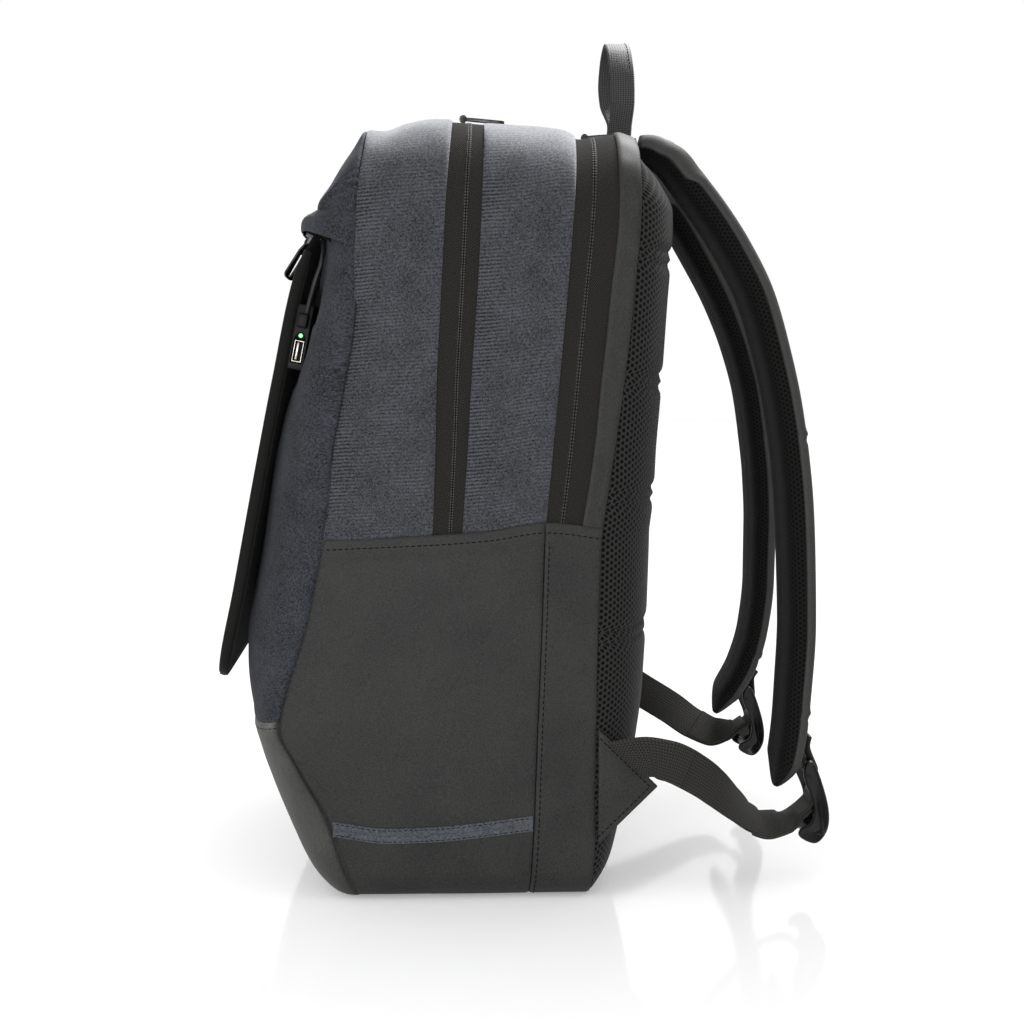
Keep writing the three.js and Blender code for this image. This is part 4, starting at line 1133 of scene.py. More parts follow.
def lower_surface(start, end, inset, side):
    """Surface of a coated side panel from the base edge to its hem."""
    def surface(u, v):
        low = mix(seam(start, HEM_LEVEL), seam(end, HEM_LEVEL), u)
        run = run_at(read(HEM, "y", "z", low)) * v
        z = round_path(run)[1]
        near = seam(start, z) + GAP / 2 + inset
        return dented(skin(mix(near, seam(end, z) - GAP / 2, u), run, side), side)
    return surface


def dented(points, side):
    """Side of the coated cloth with its soft dents."""
    wide, narrow = DENT_LENGTHS
    depth = DENT * (waves(points, wide, 31 + side) + DENT_SMALL * waves(points, narrow, 35 + side))
    return points + stack(side * depth, 0, 0)


def hem_relief(u, v, points):
    """Folded hem that stands proud at the top of a coated panel."""
    return HEM_PROUD * ease((v - HEM_SHARE) / HEM_STEP)


def stripe_surface(side):
    """Surface of the stripe across a coated side panel."""
    def surface(u, v):
        y = mix(*STRIPE_ENDS, u)
        return dented(skin(y, run_at(read(STRIPE, "y", "z", y) + STRIPE_WIDE * v), side), side)
    return surface


HEM_SHARES = np.linspace(0.015, 0.985, 120)
STRIPE_SHARES = np.linspace(0.01, 0.99, 90)
HEIGHT = run_at(HEM_MIDDLE)
for side, tag in SIDES:
    seams = []
    for name, start, end, inset in LOWER_PANELS:
        surface = lower_surface(start, end, inset, side)
        width = float(seam(end, LOWER_MIDDLE) - seam(start, LOWER_MIDDLE))
        panel(
            f"{name}_{tag}_cloth", surface,
            size=(width, HEIGHT), step=3.2, slot="coated", nodes=(f"{name}_{tag}",),
            roll="lrt", tuck=0.6, roll_wide=2.4, relief=hem_relief, lift=0.2,
        )
        seams.append(surface_line(surface, HEM_SHARES, 1 - HEM_STITCH / HEIGHT, lift=1.15))
        if name == "rear_panel":
            seams.append(surface_line(surface, REAR_STITCH / width, HEM_SHARES, lift=0.35))
    stitches(f"side_stitches_{tag}", seams)
    surface = stripe_surface(side)
    panel(
        f"side_stripe_{tag}_cloth", surface,
        size=(STRIPE_LONG, STRIPE_WIDE), step=1.6, slot="front_fabric", nodes=(f"side_stripe_{tag}",),
        lift=1.3, tuck=0.4, roll_wide=1.5, skirt=1.2, material=LOOKS["stripe_fabric"],
    )
    rows = [surface_line(surface, STRIPE_SHARES, share, lift=1.25) for share in STRIPE_STITCHES]
    stitches(f"stripe_stitches_{tag}", rows, pitch=3.2, length=2.4, thick=0.25)


def base_surface(u, v):
    """Flat base."""
    x = mix(-1, 1, u) * (HALF_WIDTH - FOOT_RADIUS - GAP)
    contour = front_point(np.linspace(0, 1, FRONT_STEPS), 0.0)
    front = np.interp(np.abs(x), contour[:, 0], contour[:, 1]) + BASE_EDGE
    return stack(x, mix(front, float(seam("back", 0)) - GAP, v), 0)


ABOVE_BASE = np.array((0, 0, 200.0))
panel(
    "bottom_cloth", base_surface,
    size=(255, 150), step=6.0, slot="coated", nodes=("bottom",),
    roll="", skirt=1.5, inside=ABOVE_BASE,
)


# Front panels
def lip_at(across):
    """Height of the hood's lip."""
    edge = np.minimum(np.abs(across), 1)
    return UPPER_FRONT_EDGE - HOOD["drop"][-1] - HOOD_SIDE_DROP * edge**HOOD_LIP_SQUARENESS


def root_at(across):
    """Height of the line where the hood leaves the face."""
    return HOOD_ROOT - HOOD_ROOT_DROP * np.minimum(np.abs(across), 1) ** HOOD_ROOT_SQUARENESS


def front_seam(across):
    """Height of the seam between the pocket and the coated front."""
    return FRONT_SEAM_HEIGHT + FRONT_SEAM_LIFT * across**FRONT_SEAM_SQUARENESS


def front_surface(low, high):
    """Part of the front between two heights that depend on the place across."""
    def surface(u, v):
        across = SLIP * (2 * u - 1)
        return front_point(across, mix(low(across), high(across), v))
    return surface


CREASES = table("x lean depth", (110, 1.4, 1.8), (118, 1.4, 3.0), (126, 1.4, 2.6))
CREASE_SHAPE = table("height at wide", (0.7, 3.8, 2.2), (-1, 0, 2))
CREASE_FOOT = 417
CREASE_TOP = 442
CREASE_FADE = 16
CORNER_PINCH_SHARE = 0.72
CORNER_PINCH_WIDE = 13
FLARE_SHARE = 0.3
FLARE_POWER = 1.5
FLARE_EDGE = 0.1
UPPER_SLACK = 0.4


def upper_creases(u, v, points):
    """Slanting creases that fan up from the root of the hood near each side, and soft slack."""
    x, z = np.abs(points[..., 0]), points[..., 2]
    edge = np.minimum(SLIP * np.abs(2 * u - 1), 1)
    flare = HOOD_FLARE * ease(1 - v / FLARE_SHARE) ** FLARE_POWER * ease((1 - edge) / FLARE_EDGE)
    pinch = ease((v - CORNER_PINCH_SHARE) / (1 - CORNER_PINCH_SHARE)) * bell(x - PINCH_X, CORNER_PINCH_WIDE)
    out = UPPER_SLACK * waves(points, length=60, seed=5) + flare + PINCH * pinch
    fade = ease((CREASE_TOP - z) / CREASE_FADE)
    for place, lean, depth in zip(CREASES["x"], CREASES["lean"], CREASES["depth"]):
        out = out + depth * fade * bells(CREASE_SHAPE, x - place - lean * (z - CREASE_FOOT))
    return out


# Where the pocket swells, and where the charging box and the cable press it in
SWELL = 4.6
SPANS = {
    # low limit, its fade, high limit, its fade
    "swell_x": (20, 60, 300, 1),
    "swell_z": (200, 90, 392, 50),
    "box_x": (68, 8, 115, 8),
    "box_z": (306, 12, 376, 10),
    "cable_x": (96, 8, 124, 5),
    "cable_z": (344, 10, 500, 1),
}
POCKET_SLACK = 0.5
POCKET_RIPPLE = 0.2


def pocket_relief(u, v, points):
    """Slack of the stuffed pocket, fuller beside the flap and pressed in behind the charging box."""
    x, z = np.abs(points[..., 0]), points[..., 2]
    swell, box, cable = (
        within(x, *SPANS[f"{part}_x"]) * within(z, *SPANS[f"{part}_z"]) for part in ("swell", "box", "cable")
    )
    slack = POCKET_SLACK * waves(points, length=80, seed=44)
    ripple = POCKET_RIPPLE * waves(points, length=28, seed=45)
    return SWELL * swell * (1 - np.maximum(box, cable)) + (slack + ripple)


def pocket_top(across):
    """Top edge of the pocket: below the zip in front and up under the hood at the sides."""
    turn = ease((np.abs(across) - POCKET_TURN) / POCKET_TURN_WIDE)
    return lip_at(across) - mix(POCKET_DROP, -POCKET_RISE, turn)


FRONT_ACROSS = 380
FRONT_STITCH = 0.965
FRONT_SHARES = np.linspace(0.01, 0.99, 200)
POCKET_DROP = 5.6
POCKET_RISE = 4
POCKET_TURN = 0.7
POCKET_TURN_WIDE = 0.14
upper_front = front_surface(root_at, lambda across: TOP - GAP + 0 * across)
panel(
    "front_upper_cloth", upper_front,
    size=(FRONT_ACROSS, 44), step=1.1, slot="front_fabric", nodes=("front_upper",),
    roll="t", tuck=0.6, skirt=5.0, relief=upper_creases,
)
panel(
    "front_pocket_cloth", front_surface(front_seam, pocket_top),
    size=(FRONT_ACROSS, 300), step=3.4, slot="front_fabric", nodes=("front_pocket",),
    roll="b", tuck=0.8, relief=pocket_relief,
)
lower_front = front_surface(lambda across: 0 * across, front_seam)
panel(
    "front_lower_cloth", lower_front,
    size=(FRONT_ACROSS, 110), step=3.2, slot="coated", nodes=("front_lower",),
    roll="t", tuck=0.8, lift=0.2, relief=cloth_relief(amplitude=0.3, length=90, seed=52),
)
row = surface_line(lower_front, FRONT_SHARES, FRONT_STITCH, lift=0.3)
stitches("front_stitches", [row])

# Hood and the zip tape under it
HOOD_TUCK = 1.6
HOOD_SLACK = 0.3
HOOD_ROOT_SINK = 0.8
HOOD_ROOT_SHARE = 0.1
HOOD_LEAST = 1.5
HOOD_SIDE_SHARE = 0.25
HOOD_SIDE_FADE = 0.16
HOOD_FLARE_SHARE = 0.6
HOOD_SQUARENESS = 6
HOOD_CENTRE_DEPTH = 40
LEDGE_SPAN = 0.83
LEDGE_HEIGHTS = (0.4, -5)
LEDGE_INSET = WALL + 1.4
LEDGE_SINK = 0.2


def hood_reach(across, share):
    """How far the hood stands off the face."""
    edge = np.minimum(np.abs(across), 1)
    side = HOOD_SIDE_REACH * ease(share / HOOD_SIDE_SHARE) * ease((1 - edge) / HOOD_SIDE_FADE)
    flare = HOOD_FLARE * (1 - ease(share / HOOD_FLARE_SHARE)) * ease((1 - edge) / FLARE_EDGE)
    reach = read(HOOD, "share", "reach", share)
    return mix(reach, np.maximum(HOOD_LEAST, side), edge**HOOD_SQUARENESS) + flare


def outward_from(points, z):
    """Level direction away from the bag at a point of the front."""
    ahead = points[..., 1] - seam("front", z) - HOOD_CENTRE_DEPTH
    return unit(stack(HOOD_FAN * points[..., 0], ahead, 0 * z))


def hood_surface(u, v):
    """Awning over the pocket zip."""
    across = SLIP * (2 * u - 1)
    fall = read(HOOD, "share", "drop", v) / HOOD["drop"][-1]
    z = mix(root_at(across) + HOOD_TUCK, lip_at(across), fall)
    points = front_point(across, z)
    return points + outward_from(points, z) * hood_reach(across, v)[..., None]


def ledge_surface(u, v):
    """Zip tape that closes the pocket under the hood."""
    across = LEDGE_SPAN * (2 * u - 1)
    z = lip_at(across) + mix(*LEDGE_HEIGHTS, v)
    reach = np.maximum(0, hood_reach(across, 1.0 + 0 * u) - LEDGE_INSET) * (1 - v)
    points = front_point(across, z)
    return points + outward_from(points, z) * (reach - LEDGE_SINK)[..., None]


def hood_relief(u, v, points):
    """Soft slack, with the root tucked under the panel above."""
    sink = HOOD_ROOT_SINK * (1 - ease(v / HOOD_ROOT_SHARE))
    return HOOD_SLACK * waves(points, length=45, seed=61) - sink


BEHIND_HOOD = np.array((0.0, -60.0, 430.0))
panel(
    "hood_cloth", hood_surface,
    size=(FRONT_ACROSS, 24), step=1.8, slot="front_fabric", nodes=("hood",),
    roll="t", tuck=0.3, roll_wide=1.6, skirt=0.8, relief=hood_relief,
)
panel(
    "pocket_zip_tape_cloth", ledge_surface,
    size=(FRONT_ACROSS, 10), step=2.4, slot="zip_tape", nodes=("pocket_zip_tape",),
    roll="", skirt=0.6, inside=BEHIND_HOOD,
)

# Flap in front of the pocket, with a woven binding round its free edges
FLAP_TOP = FLAP["z"][0]
FLAP_BOTTOM = FLAP["z"][-1]


def flap_half(z):
    """Half width of the flap at a height, with rounded lower corners."""
    low = np.maximum(0, FLAP_BOTTOM + FLAP_CORNER - z)
    return FLAP_HALF - FLAP_CORNER + np.sqrt(np.maximum(0, FLAP_CORNER**2 - low**2))


def flap_face(share):
    """Face of the flap at a share of its thickness, from 0 outside to 1 inside."""
    def surface(u, v):
        z = mix(FLAP_TOP, FLAP_BOTTOM, v)
        y = read(FLAP, "z", "y", z)
        slope = read(FLAP, "z", "y", z + 0.5) - read(FLAP, "z", "y", z - 0.5)
        off = share * read(FLAP, "z", "thick", z) / np.hypot(1, slope)
        return stack(mix(-1, 1, u) * flap_half(z), y + off, z - off * slope)
    return surface


FLAP_US = np.linspace(0, 1, 57)
FLAP_CORNER_STEPS = np.array((0.003, 0.008, 0.02, 0.035, 0.047))
FLAP_VS = np.sort(np.concatenate([np.linspace(0, 1, 76), 1 - FLAP_CORNER_STEPS]))
FLAP_MIDDLE = np.array((0, -120.0, 260.0))
EDGE_START = 0.03
EDGE_STATIONS = 120
FOOT_STATIONS = 80
BINDING_STATIONS = 320
outer = lattice(flap_face(0.0), FLAP_US, FLAP_VS)[0]
inner = lattice(flap_face(1.0), FLAP_US, FLAP_VS)[0]
flap_sections = np.concatenate([outer, inner[::-1]], 0).transpose(1, 0, 2)
loop_piece("flap_board", flap_sections, "flap_fabric", ("flap",))


def flap_edge():
    """Line round the free edges of the flap: points, directions into the flap, normals and thickness."""
    down = np.linspace(EDGE_START, 1, EDGE_STATIONS)
    across = np.linspace(1, 0, FOOT_STATIONS)[1:-1]
    middle = flap_face(0.5)
    right = middle(np.ones_like(down), down)
    bottom = middle(across, np.ones_like(across))
    left = middle(np.zeros_like(down), down[::-1])
    line = even(np.concatenate([right, bottom, left]), [], BINDING_STATIONS)[0]
    ahead = unit(np.gradient(line, axis=0))
    slope = (read(FLAP, "z", "y", line[:, 2] + 1) - read(FLAP, "z", "y", line[:, 2] - 1)) / 2
    normal = unit(stack(0 * slope, -1 + 0 * slope, slope))
    inward = unit(np.cross(normal, ahead))
    if np.sum(inward * (FLAP_MIDDLE - line)) < 0:
        inward = -inward
    return line, inward, normal, read(FLAP, "z", "thick", line[:, 2])


BINDING = (
    # depth into the flap, share of the flap's thickness, height off its face
    (9, 0.5, 0.25),
    (8.4, 0.5, 0.7),
    (1.2, 0.5, 0.8),
    (-0.3, 0.3, 0.5),
    (-0.8, 0, 0),
    (-0.3, -0.3, -0.5),
    (1.2, -0.5, -0.8),
    (8.4, -0.5, -0.7),
    (9, -0.5, -0.25),
    (8.4, -0.42, 0),
    (1, 0, 0),
    (8.4, 0.42, 0),
)
line, inward, normal, thick = flap_edge()
binding = np.stack([
    line + inward * deep + normal * (share * thick + proud)[:, None] for deep, share, proud in BINDING
], 1)
loop_piece("flap_binding", binding, "flap_fabric", material=LOOKS["binding"])

# Pieces kept from the solids, with softened edges
WELD_REACH = 0.01
BEVEL_STEPS = 3
BEVEL_ANGLE = math.radians(25)
FACING = 0.9
SOCKET_RIM = 2.5


def softened(node, slot, width, body=BODY, twist=None, material=None):
    """Copy of a solid with rounded edges, in place of it; a twist turns it about an axis through a point."""
    mesh = frame["nodes"][node].data.copy()
    mesh.materials.clear()
    mesh.materials.append(material or LOOKS[slot])
    piece = placed(node + "_shape", mesh)
    place = frame["nodes"][node].matrix_world.copy()
    if twist:
        centre, axis, turn = twist
        there = Matrix.Translation(Vector(centre) * MM)
        place = there @ Matrix.Rotation(turn, 4, Vector(axis)) @ there.inverted() @ place
    piece.matrix_world = place
    weld = piece.modifiers.new("weld", "WELD")
    weld.merge_threshold = WELD_REACH * MM
    bevel = piece.modifiers.new("bevel", "BEVEL")
    bevel.width = width * MM
    bevel.segments = BEVEL_STEPS
    bevel.limit_method = "ANGLE"
    bevel.angle_limit = BEVEL_ANGLE
    bevel.harden_normals = False
    mesh.polygons.foreach_set("use_smooth", [True] * len(mesh.polygons))
    return dressed(piece, (node,), body)


softened("usb_box", "black_plastic", width=0.9, material=LOOKS["box_plastic"])
softened("usb_plug", "black_plastic", width=1.2, material=LOOKS["box_plastic"])
socket = softened("usb_socket", "steel", width=0.12)
# Only the front rim of the socket stays steel; its other faces, those in its hollow among them, take the dark
# box plastic as painted shade in the hollow
socket.data.materials.append(LOOKS["box_plastic"])
fronts = [face.center.x for face in socket.data.polygons if face.normal.x > FACING]
for face in socket.data.polygons:
    shown = face.normal.x > FACING and face.center.x > max(fronts) - SOCKET_RIM * MM
    face.material_index = 0 if shown else 1
softened("led", "green_light", width=0.4)

# Buckles and zip pulls
RING_STEPS = 5
BAR_SIDES = 16
PLATE_EDGE = 0.8
RIM_SHARE = 0.3
BAR_INSET = 1


def soft_ring(points):
    """Closed smooth outline through a ring of points."""
    before, after, beyond = (np.roll(points, k, 0) for k in (1, -1, -2))
    slope = after - before
    bend = 2 * before - 5 * points + 4 * after - beyond
    twist = 3 * (points - after) + beyond - before
    shares = np.arange(RING_STEPS) / RING_STEPS
    return np.stack([points + 0.5 * t * (slope + t * (bend + t * twist)) for t in shares], 1).reshape(-1, 2)


def plate_sections(outline, x, wall, edge):
    """Side plate of a buckle with rounded rims."""
    along = unit(np.roll(outline, -1, 0) - np.roll(outline, 1, 0))
    inward = np.stack([-along[:, 1], along[:, 0]], -1)
    inward = inward * np.sign(np.sum(inward * (outline.mean(0) - outline)))
    near_rim = [(0, edge), (edge * RIM_SHARE, edge * RIM_SHARE), (edge, 0)]
    far_rim = [(wall - at, inset) for at, inset in near_rim[::-1]]
    return np.stack([stack(x + at, *(outline + inward * inset).T) for at, inset in near_rim + far_rim])


def bar_sections(y, z, radius, low, high):
    """Round cross bar of a buckle."""
    turn = np.linspace(0, 2 * math.pi, BAR_SIDES, endpoint=False)
    return np.stack([stack(x, y + radius * np.cos(turn), z + radius * np.sin(turn)) for x in (low, high)])


def joined(name, lofts, slot, nodes):
    """Several closed lofts as one piece."""
    vertices, faces = [], []
    for sections in lofts:
        first = sum(len(block) for block in vertices)
        block = sections.reshape(-1, 3)
        made = outward_loop(block, *sections.shape[:2])
        faces.extend(tuple(first + int(corner) for corner in face) for face in made)
        vertices.append(block)
    return mesh_piece(name, np.concatenate(vertices), faces, None, LOOKS[slot], nodes)


PULL_TURN = math.radians(48)
PULL_HANG = {
    # middle of the bar that the pull hangs on, direction in which it hangs
    "pocket_right": ((82, -93.2, 397.9), -123),
    "pocket_left": ((60, -95.1, 398.4), -120),
}
PULL_TWISTS = {
    name: (bar, (0, math.cos(math.radians(rest)), math.sin(math.radians(rest))), PULL_TURN)
    for name, (bar, rest) in PULL_HANG.items()
}
BUCKLE_LOW = BUCKLE_X - BUCKLE_HALF
BUCKLE_HIGH = BUCKLE_X + BUCKLE_HALF
for side, tag in SIDES:
    shift = np.array(BUCKLE_SHIFT[tag])
    outline = soft_ring(np.stack([BUCKLE_PLATE["y"], BUCKLE_PLATE["z"]], -1) + shift)
    plates = (BUCKLE_LOW, BUCKLE_HIGH - BUCKLE_WALL)
    lofts = [plate_sections(outline, x, BUCKLE_WALL, PLATE_EDGE) for x in plates]
    for y, z, radius in zip(BUCKLE_BARS["y"], BUCKLE_BARS["z"], BUCKLE_BARS["radius"]):
        ends = (BUCKLE_LOW + BAR_INSET, BUCKLE_HIGH - BAR_INSET)
        lofts.append(bar_sections(y + shift[0], z + shift[1], radius, *ends))
    lofts = [sections * np.array((side, 1, 1)) for sections in lofts]
    joined(f"buckle_{tag}_shape", lofts, "black_plastic", (f"buckle_{tag}",))
for name in ("main", "laptop", "pocket_right", "pocket_left"):
    softened(f"{name}_slider", "gunmetal", width=0.3)
    twist = PULL_TWISTS.get(name)
    softened(f"{name}_pull", "gunmetal", width=0.35, body=f"{name}_pull_tab", twist=twist)

# Charging cable from the pocket to the plug
CABLE_STATIONS = 40
CABLE_ROUNDNESS = 4
curve = bpy.data.curves.new("usb_cable_line", "CURVE")
curve.dimensions = "3D"
curve.bevel_depth = CABLE_RADIUS * MM
curve.bevel_resolution = CABLE_ROUNDNESS
cable_line = np.stack(along_rows(CABLE, CABLE_STATIONS), -1)
spline = curve.splines.new("POLY")
spline.points.add(len(cable_line) - 1)
for point, place in zip(spline.points, cable_line):
    point.co = (*(place * MM), 1)
curve.materials.append(LOOKS["cable_rubber"])
dressed(placed("usb_cable_round", curve), ("usb_cable",))

# Quilted back pad
PAD_SQUARENESS = 4
PAD_BORDER = -2.5
PAD_INSET = 1.4
PAD_ROUNDNESS = 2
PAD_SHARES = np.linspace(0.05, 0.95, 200)
PAD_LOW, PAD_HIGH = PAD["z"][[0, -1]]
STITCH_LINES = np.array([channel + step for channel in CHANNELS for step in (-CHANNEL_BAND, CHANNEL_BAND)])


def pad_groove(z):
    """Depth of the sewn channels at a height."""
    nearest = np.min(np.abs(np.asarray(z)[..., None] - STITCH_LINES), -1)
    return QUILT_DEPTH * (1 - np.sqrt(1 - np.clip(1 - nearest / QUILT_ROUND, 0, 1) ** 2))


def pad_surface(u, v):
    """Outer face of the back pad."""
    z = mix(PAD_LOW, PAD_HIGH, v)
    turn = (2 * u - 1) * (math.pi / 2)
    across = np.sign(turn) * np.abs(np.sin(turn)) ** (2 / PAD_SQUARENESS)
    swell = np.abs(np.cos(turn)) ** (2 / PAD_ROUNDNESS)
    depth = PAD_BORDER + (read(PAD, "z", "depth", z) - PAD_BORDER - pad_groove(z)) * swell
    return stack(across * (half_at(z) - PAD_INSET), seam("back", z) + GAP + depth, z)


pad = panel(
    "back_pad_mesh", pad_surface,
    size=(300, 448), step=2.4, slot="air_mesh", nodes=("back_pad",), roll="", skirt=3.0,
)
shares = (STITCH_LINES - PAD_LOW) / (PAD_HIGH - PAD_LOW)
rows = [surface_line(pad_surface, PAD_SHARES, share, lift=0.1) for share in shares]
stitches("pad_stitches", rows, pitch=3.4, length=2.5, thick=0.3)

# Carry handle
HANDLE_MIDDLE = np.array((0, 104, 490))
HANDLE_READS = 240
HANDLE_STATIONS = 150
HANDLE_STITCH = 5.4
HANDLE_CROWN = slice(48, 102)
STITCH_LIFT = 0.1
x, y, z, turn = along_rows(HANDLE, HANDLE_READS, "x y z turn")
handle_line, (turns,) = even(np.stack([x, y, z], -1), [np.radians(turn)], HANDLE_STATIONS)
handle_wide = stack(np.sin(turns), np.cos(turns), 0 * turns)
# The handle wears the lighter webbing look: painted light
ribbon(
    "handle_webbing", handle_line, handle_wide, HANDLE_WIDTH, HANDLE_THICK, "webbing", ("handle",),
    material=LOOKS["handle"],
)
handle_ahead = unit(np.gradient(handle_line, axis=0))
handle_out = unit(np.cross(handle_wide, handle_ahead))
facing = np.sum(handle_out * (handle_line - HANDLE_MIDDLE), -1, keepdims=True)
handle_out = handle_out * np.sign(facing)
handle_row = handle_line + handle_wide * HANDLE_STITCH + handle_out * (HANDLE_THICK / 2 + STITCH_LIFT)
crown_row = (handle_row[HANDLE_CROWN], handle_out[HANDLE_CROWN])
stitches("handle_stitches", [crown_row], pitch=3.0, length=2.2, thick=0.3)

# Shoulder straps with their webbing, buckles and wings
STRAP_COUNT = 210
STRAP_ROOT = {"x": 61, "y": 97.5, "z": 456.0, "wide": 61.5, "thick": 11.5, "sway": 0}
STRAP_READS = 400
STRAP_TIP = 9
STRAP_TIP_START = 0.4
YOKE_WRAP = 61
YOKE_FADE = 10
WRAP_DEPTH = 0.55
WRAP_EDGE = 0.93
YOKE_SWELL_AT = 30
YOKE_SWELL_WIDE = 18
YOKE_CROWN = 0.6
YOKE_RISE = 1.2
RIPPLE = 1.1
RIPPLE_ACROSS = 9
RIPPLE_ALONG = 0.3
COVER_OUTER = 0.2
COVER_INNER = 0.02
COVER_GROW = 0.4
COVER_SEAMS = (274.7, 108.8)
COVER_SEAM = table("height at wide", (0.9, 1.6, 2), (-0.7, -2, 1.6))


def strap_rows(tag):
    """Strap table of one side: the left one hangs further back."""
    return dict(STRAP, y=STRAP["y"] + (STRAP["sway"] if tag == "left" else 0))


def tucked(rows):
    """Strap table that starts further in, under the edge of the back."""
    return {column: np.concatenate([[first], rows[column]]) for column, first in STRAP_ROOT.items()}


def strap_frame(rows, count):
    """Stations of the strap: centre, across and out directions, width and thickness."""
    x, y, z, wide, thick = along_rows(rows, STRAP_READS, "x y z wide thick")
    line, (wide, thick) = even(np.stack([x, y, z], -1), [wide, thick], count)
    ahead = unit(np.gradient(line, axis=0))
    across = unit(ACROSS - ahead * ahead[:, :1])
    out = unit(np.cross(ahead, across))
    out = np.where(out[:, 1:2] < 0, -out, out)
    return line, across, out, wide, thick


def strap_sections(rows, ws, ts, grow=0.0, lift=0.0):
    """Outlines of a strap layer from shares of its half width and half thickness."""
    line, across, out, wide, thick = strap_frame(tucked(rows), STRAP_COUNT)
    tip = np.sqrt(np.clip((np.arange(STRAP_COUNT)[::-1] + STRAP_TIP_START) / STRAP_TIP, 0, 1))[:, None]
    aside = ws[None] * (wide / 2 + grow)[:, None] * tip
    outward_by = np.atleast_2d(ts) * (thick / 2)[:, None] * tip + lift
    return line[:, None] + across[:, None] * aside[..., None] + out[:, None] * outward_by[..., None]


def cover_shape(rows):
    """Shares and lifts of the cover: it wraps the sides at the yoke, creases there, and has seams across."""
    line = strap_frame(tucked(rows), STRAP_COUNT)[0]
    run = runs_of(line, 0)[:, None]
    wrap = ease((YOKE_WRAP - run) / YOKE_FADE)
    shares = COVER_T[None] - WRAP_DEPTH * wrap * ease((np.abs(COVER_W[None]) - WRAP_EDGE) / (1 - WRAP_EDGE))
    swell = bell(run - YOKE_SWELL_AT, YOKE_SWELL_WIDE) * (1 - YOKE_CROWN * COVER_W[None] ** 2)
    folds = swell * (YOKE_RISE + RIPPLE * np.sin(RIPPLE_ACROSS * COVER_W[None] + RIPPLE_ALONG * run))
    for height in COVER_SEAMS:
        folds = folds + bells(COVER_SEAM, line[:, 2:] - height)
    layers = [shares + COVER_OUTER, shares[:, ::-1] - COVER_INNER]
    return np.concatenate(layers, 1), np.concatenate([folds, 0 * folds], 1)


def loop_line(rows, shift):
    """Short webbing from the cover down round the top bar of the buckle and back up."""
    bar_y, bar_z, radius = BUCKLE_TOP_BAR
    reach = radius + GAP + WEB_THICK / 2

    def on(z, spread):
        slope = (read(rows, "z", "y", z + 1) - read(rows, "z", "y", z - 1)) / 2
        lift = COVER_RISE * read(rows, "z", "thick", z) / 2 + GAP + COVER_WALL
        face = read(rows, "z", "y", z) + lift * np.hypot(1, slope)
        return (BUCKLE_X, float(face) + GAP + WEB_THICK / 2 + spread, z)

    ys = bar_y + shift[0] + reach * np.cos(LOOP_TURNS)
    zs = bar_z + shift[1] + reach * np.sin(LOOP_TURNS)
    middle = [(BUCKLE_X, y, z) for y, z in zip(ys, zs)]
    places = [on(z, 0) for z in LOOP_DOWN] + middle + [on(z, LOOP_SPREAD) for z in LOOP_UP]
    line = np.stack(along_rows(table("x y z", *places), LOOP_READS), -1)
    return even(line, [], LOOP_STATIONS)[0]


WEB_SLANT = 0.85
WEB_LAYERS = (
    # name, first station, last station, offset, slant of the start
    ("web_hem", 0, 40, 2.1, WEB_SLANT),
    ("web_tail", 100, 146, -2.2, 0.0),
)
WEB_INSET = 0.6
WEB_READS = 300
WEB_STATIONS = 160
LOOP_READS = 200
LOOP_STATIONS = 90
LOOP_TURNS = np.radians((180, 225, 270, 315, 360))
WING_HEM = 3.4
WING_ENDS = (4, 3)
WING_STATIONS = 40


def wing_line(edge, side):
    """Stitch line inside one free edge of the anchor tab."""
    ends = np.array(WING[edge:edge + 2], float)
    middle = np.array(WING, float).mean(0)
    along = unit(ends[1] - ends[0])
    inward = np.array((-along[1], along[0]))
    inward = inward * np.sign(np.dot(inward, middle - ends[0]))
    run = np.linspace(WING_ENDS[0], np.linalg.norm(ends[1] - ends[0]) - WING_ENDS[1], WING_STATIONS)
    places = ends[0] + along * run[:, None] + inward * WING_HEM
    x = HALF_WIDTH + WING_WALL - (places[:, 0] - WING[0][0]) * WING_LEAN + STITCH_LIFT
    return stack(side * x, places[:, 0], places[:, 1]), stack(side * np.ones(WING_STATIONS), 0, 0)


# Sections of the strap's pad and cover, as shares of the half width and the half thickness
PAD_SIDES = 44
STRAP_SQUARENESS = 5
STRAP_ROUNDNESS = 2.6
PAD_OUTER = 0.7
turn = np.linspace(-0.5 * math.pi, 1.5 * math.pi, PAD_SIDES, endpoint=False)
PAD_W = np.sign(np.cos(turn)) * np.abs(np.cos(turn)) ** (2 / STRAP_SQUARENESS)
PAD_T = np.sign(np.sin(turn)) * np.abs(np.sin(turn)) ** (2 / STRAP_ROUNDNESS)
PAD_T = np.where(PAD_T > 0, PAD_T * PAD_OUTER, PAD_T)
COVER_W = np.array((-1, -0.985, -0.93, -0.8, -0.55, -0.25, 0, 0.25, 0.55, 0.8, 0.93, 0.985, 1))
COVER_T = np.array((0.1, 0.5, 0.68, 0.76, 0.8, 0.82, 0.82, 0.82, 0.8, 0.76, 0.68, 0.5, 0.1))
COVER_INSIDE = 0.97
COVER_LOOP_W = np.concatenate([COVER_W, COVER_W[::-1] * COVER_INSIDE])
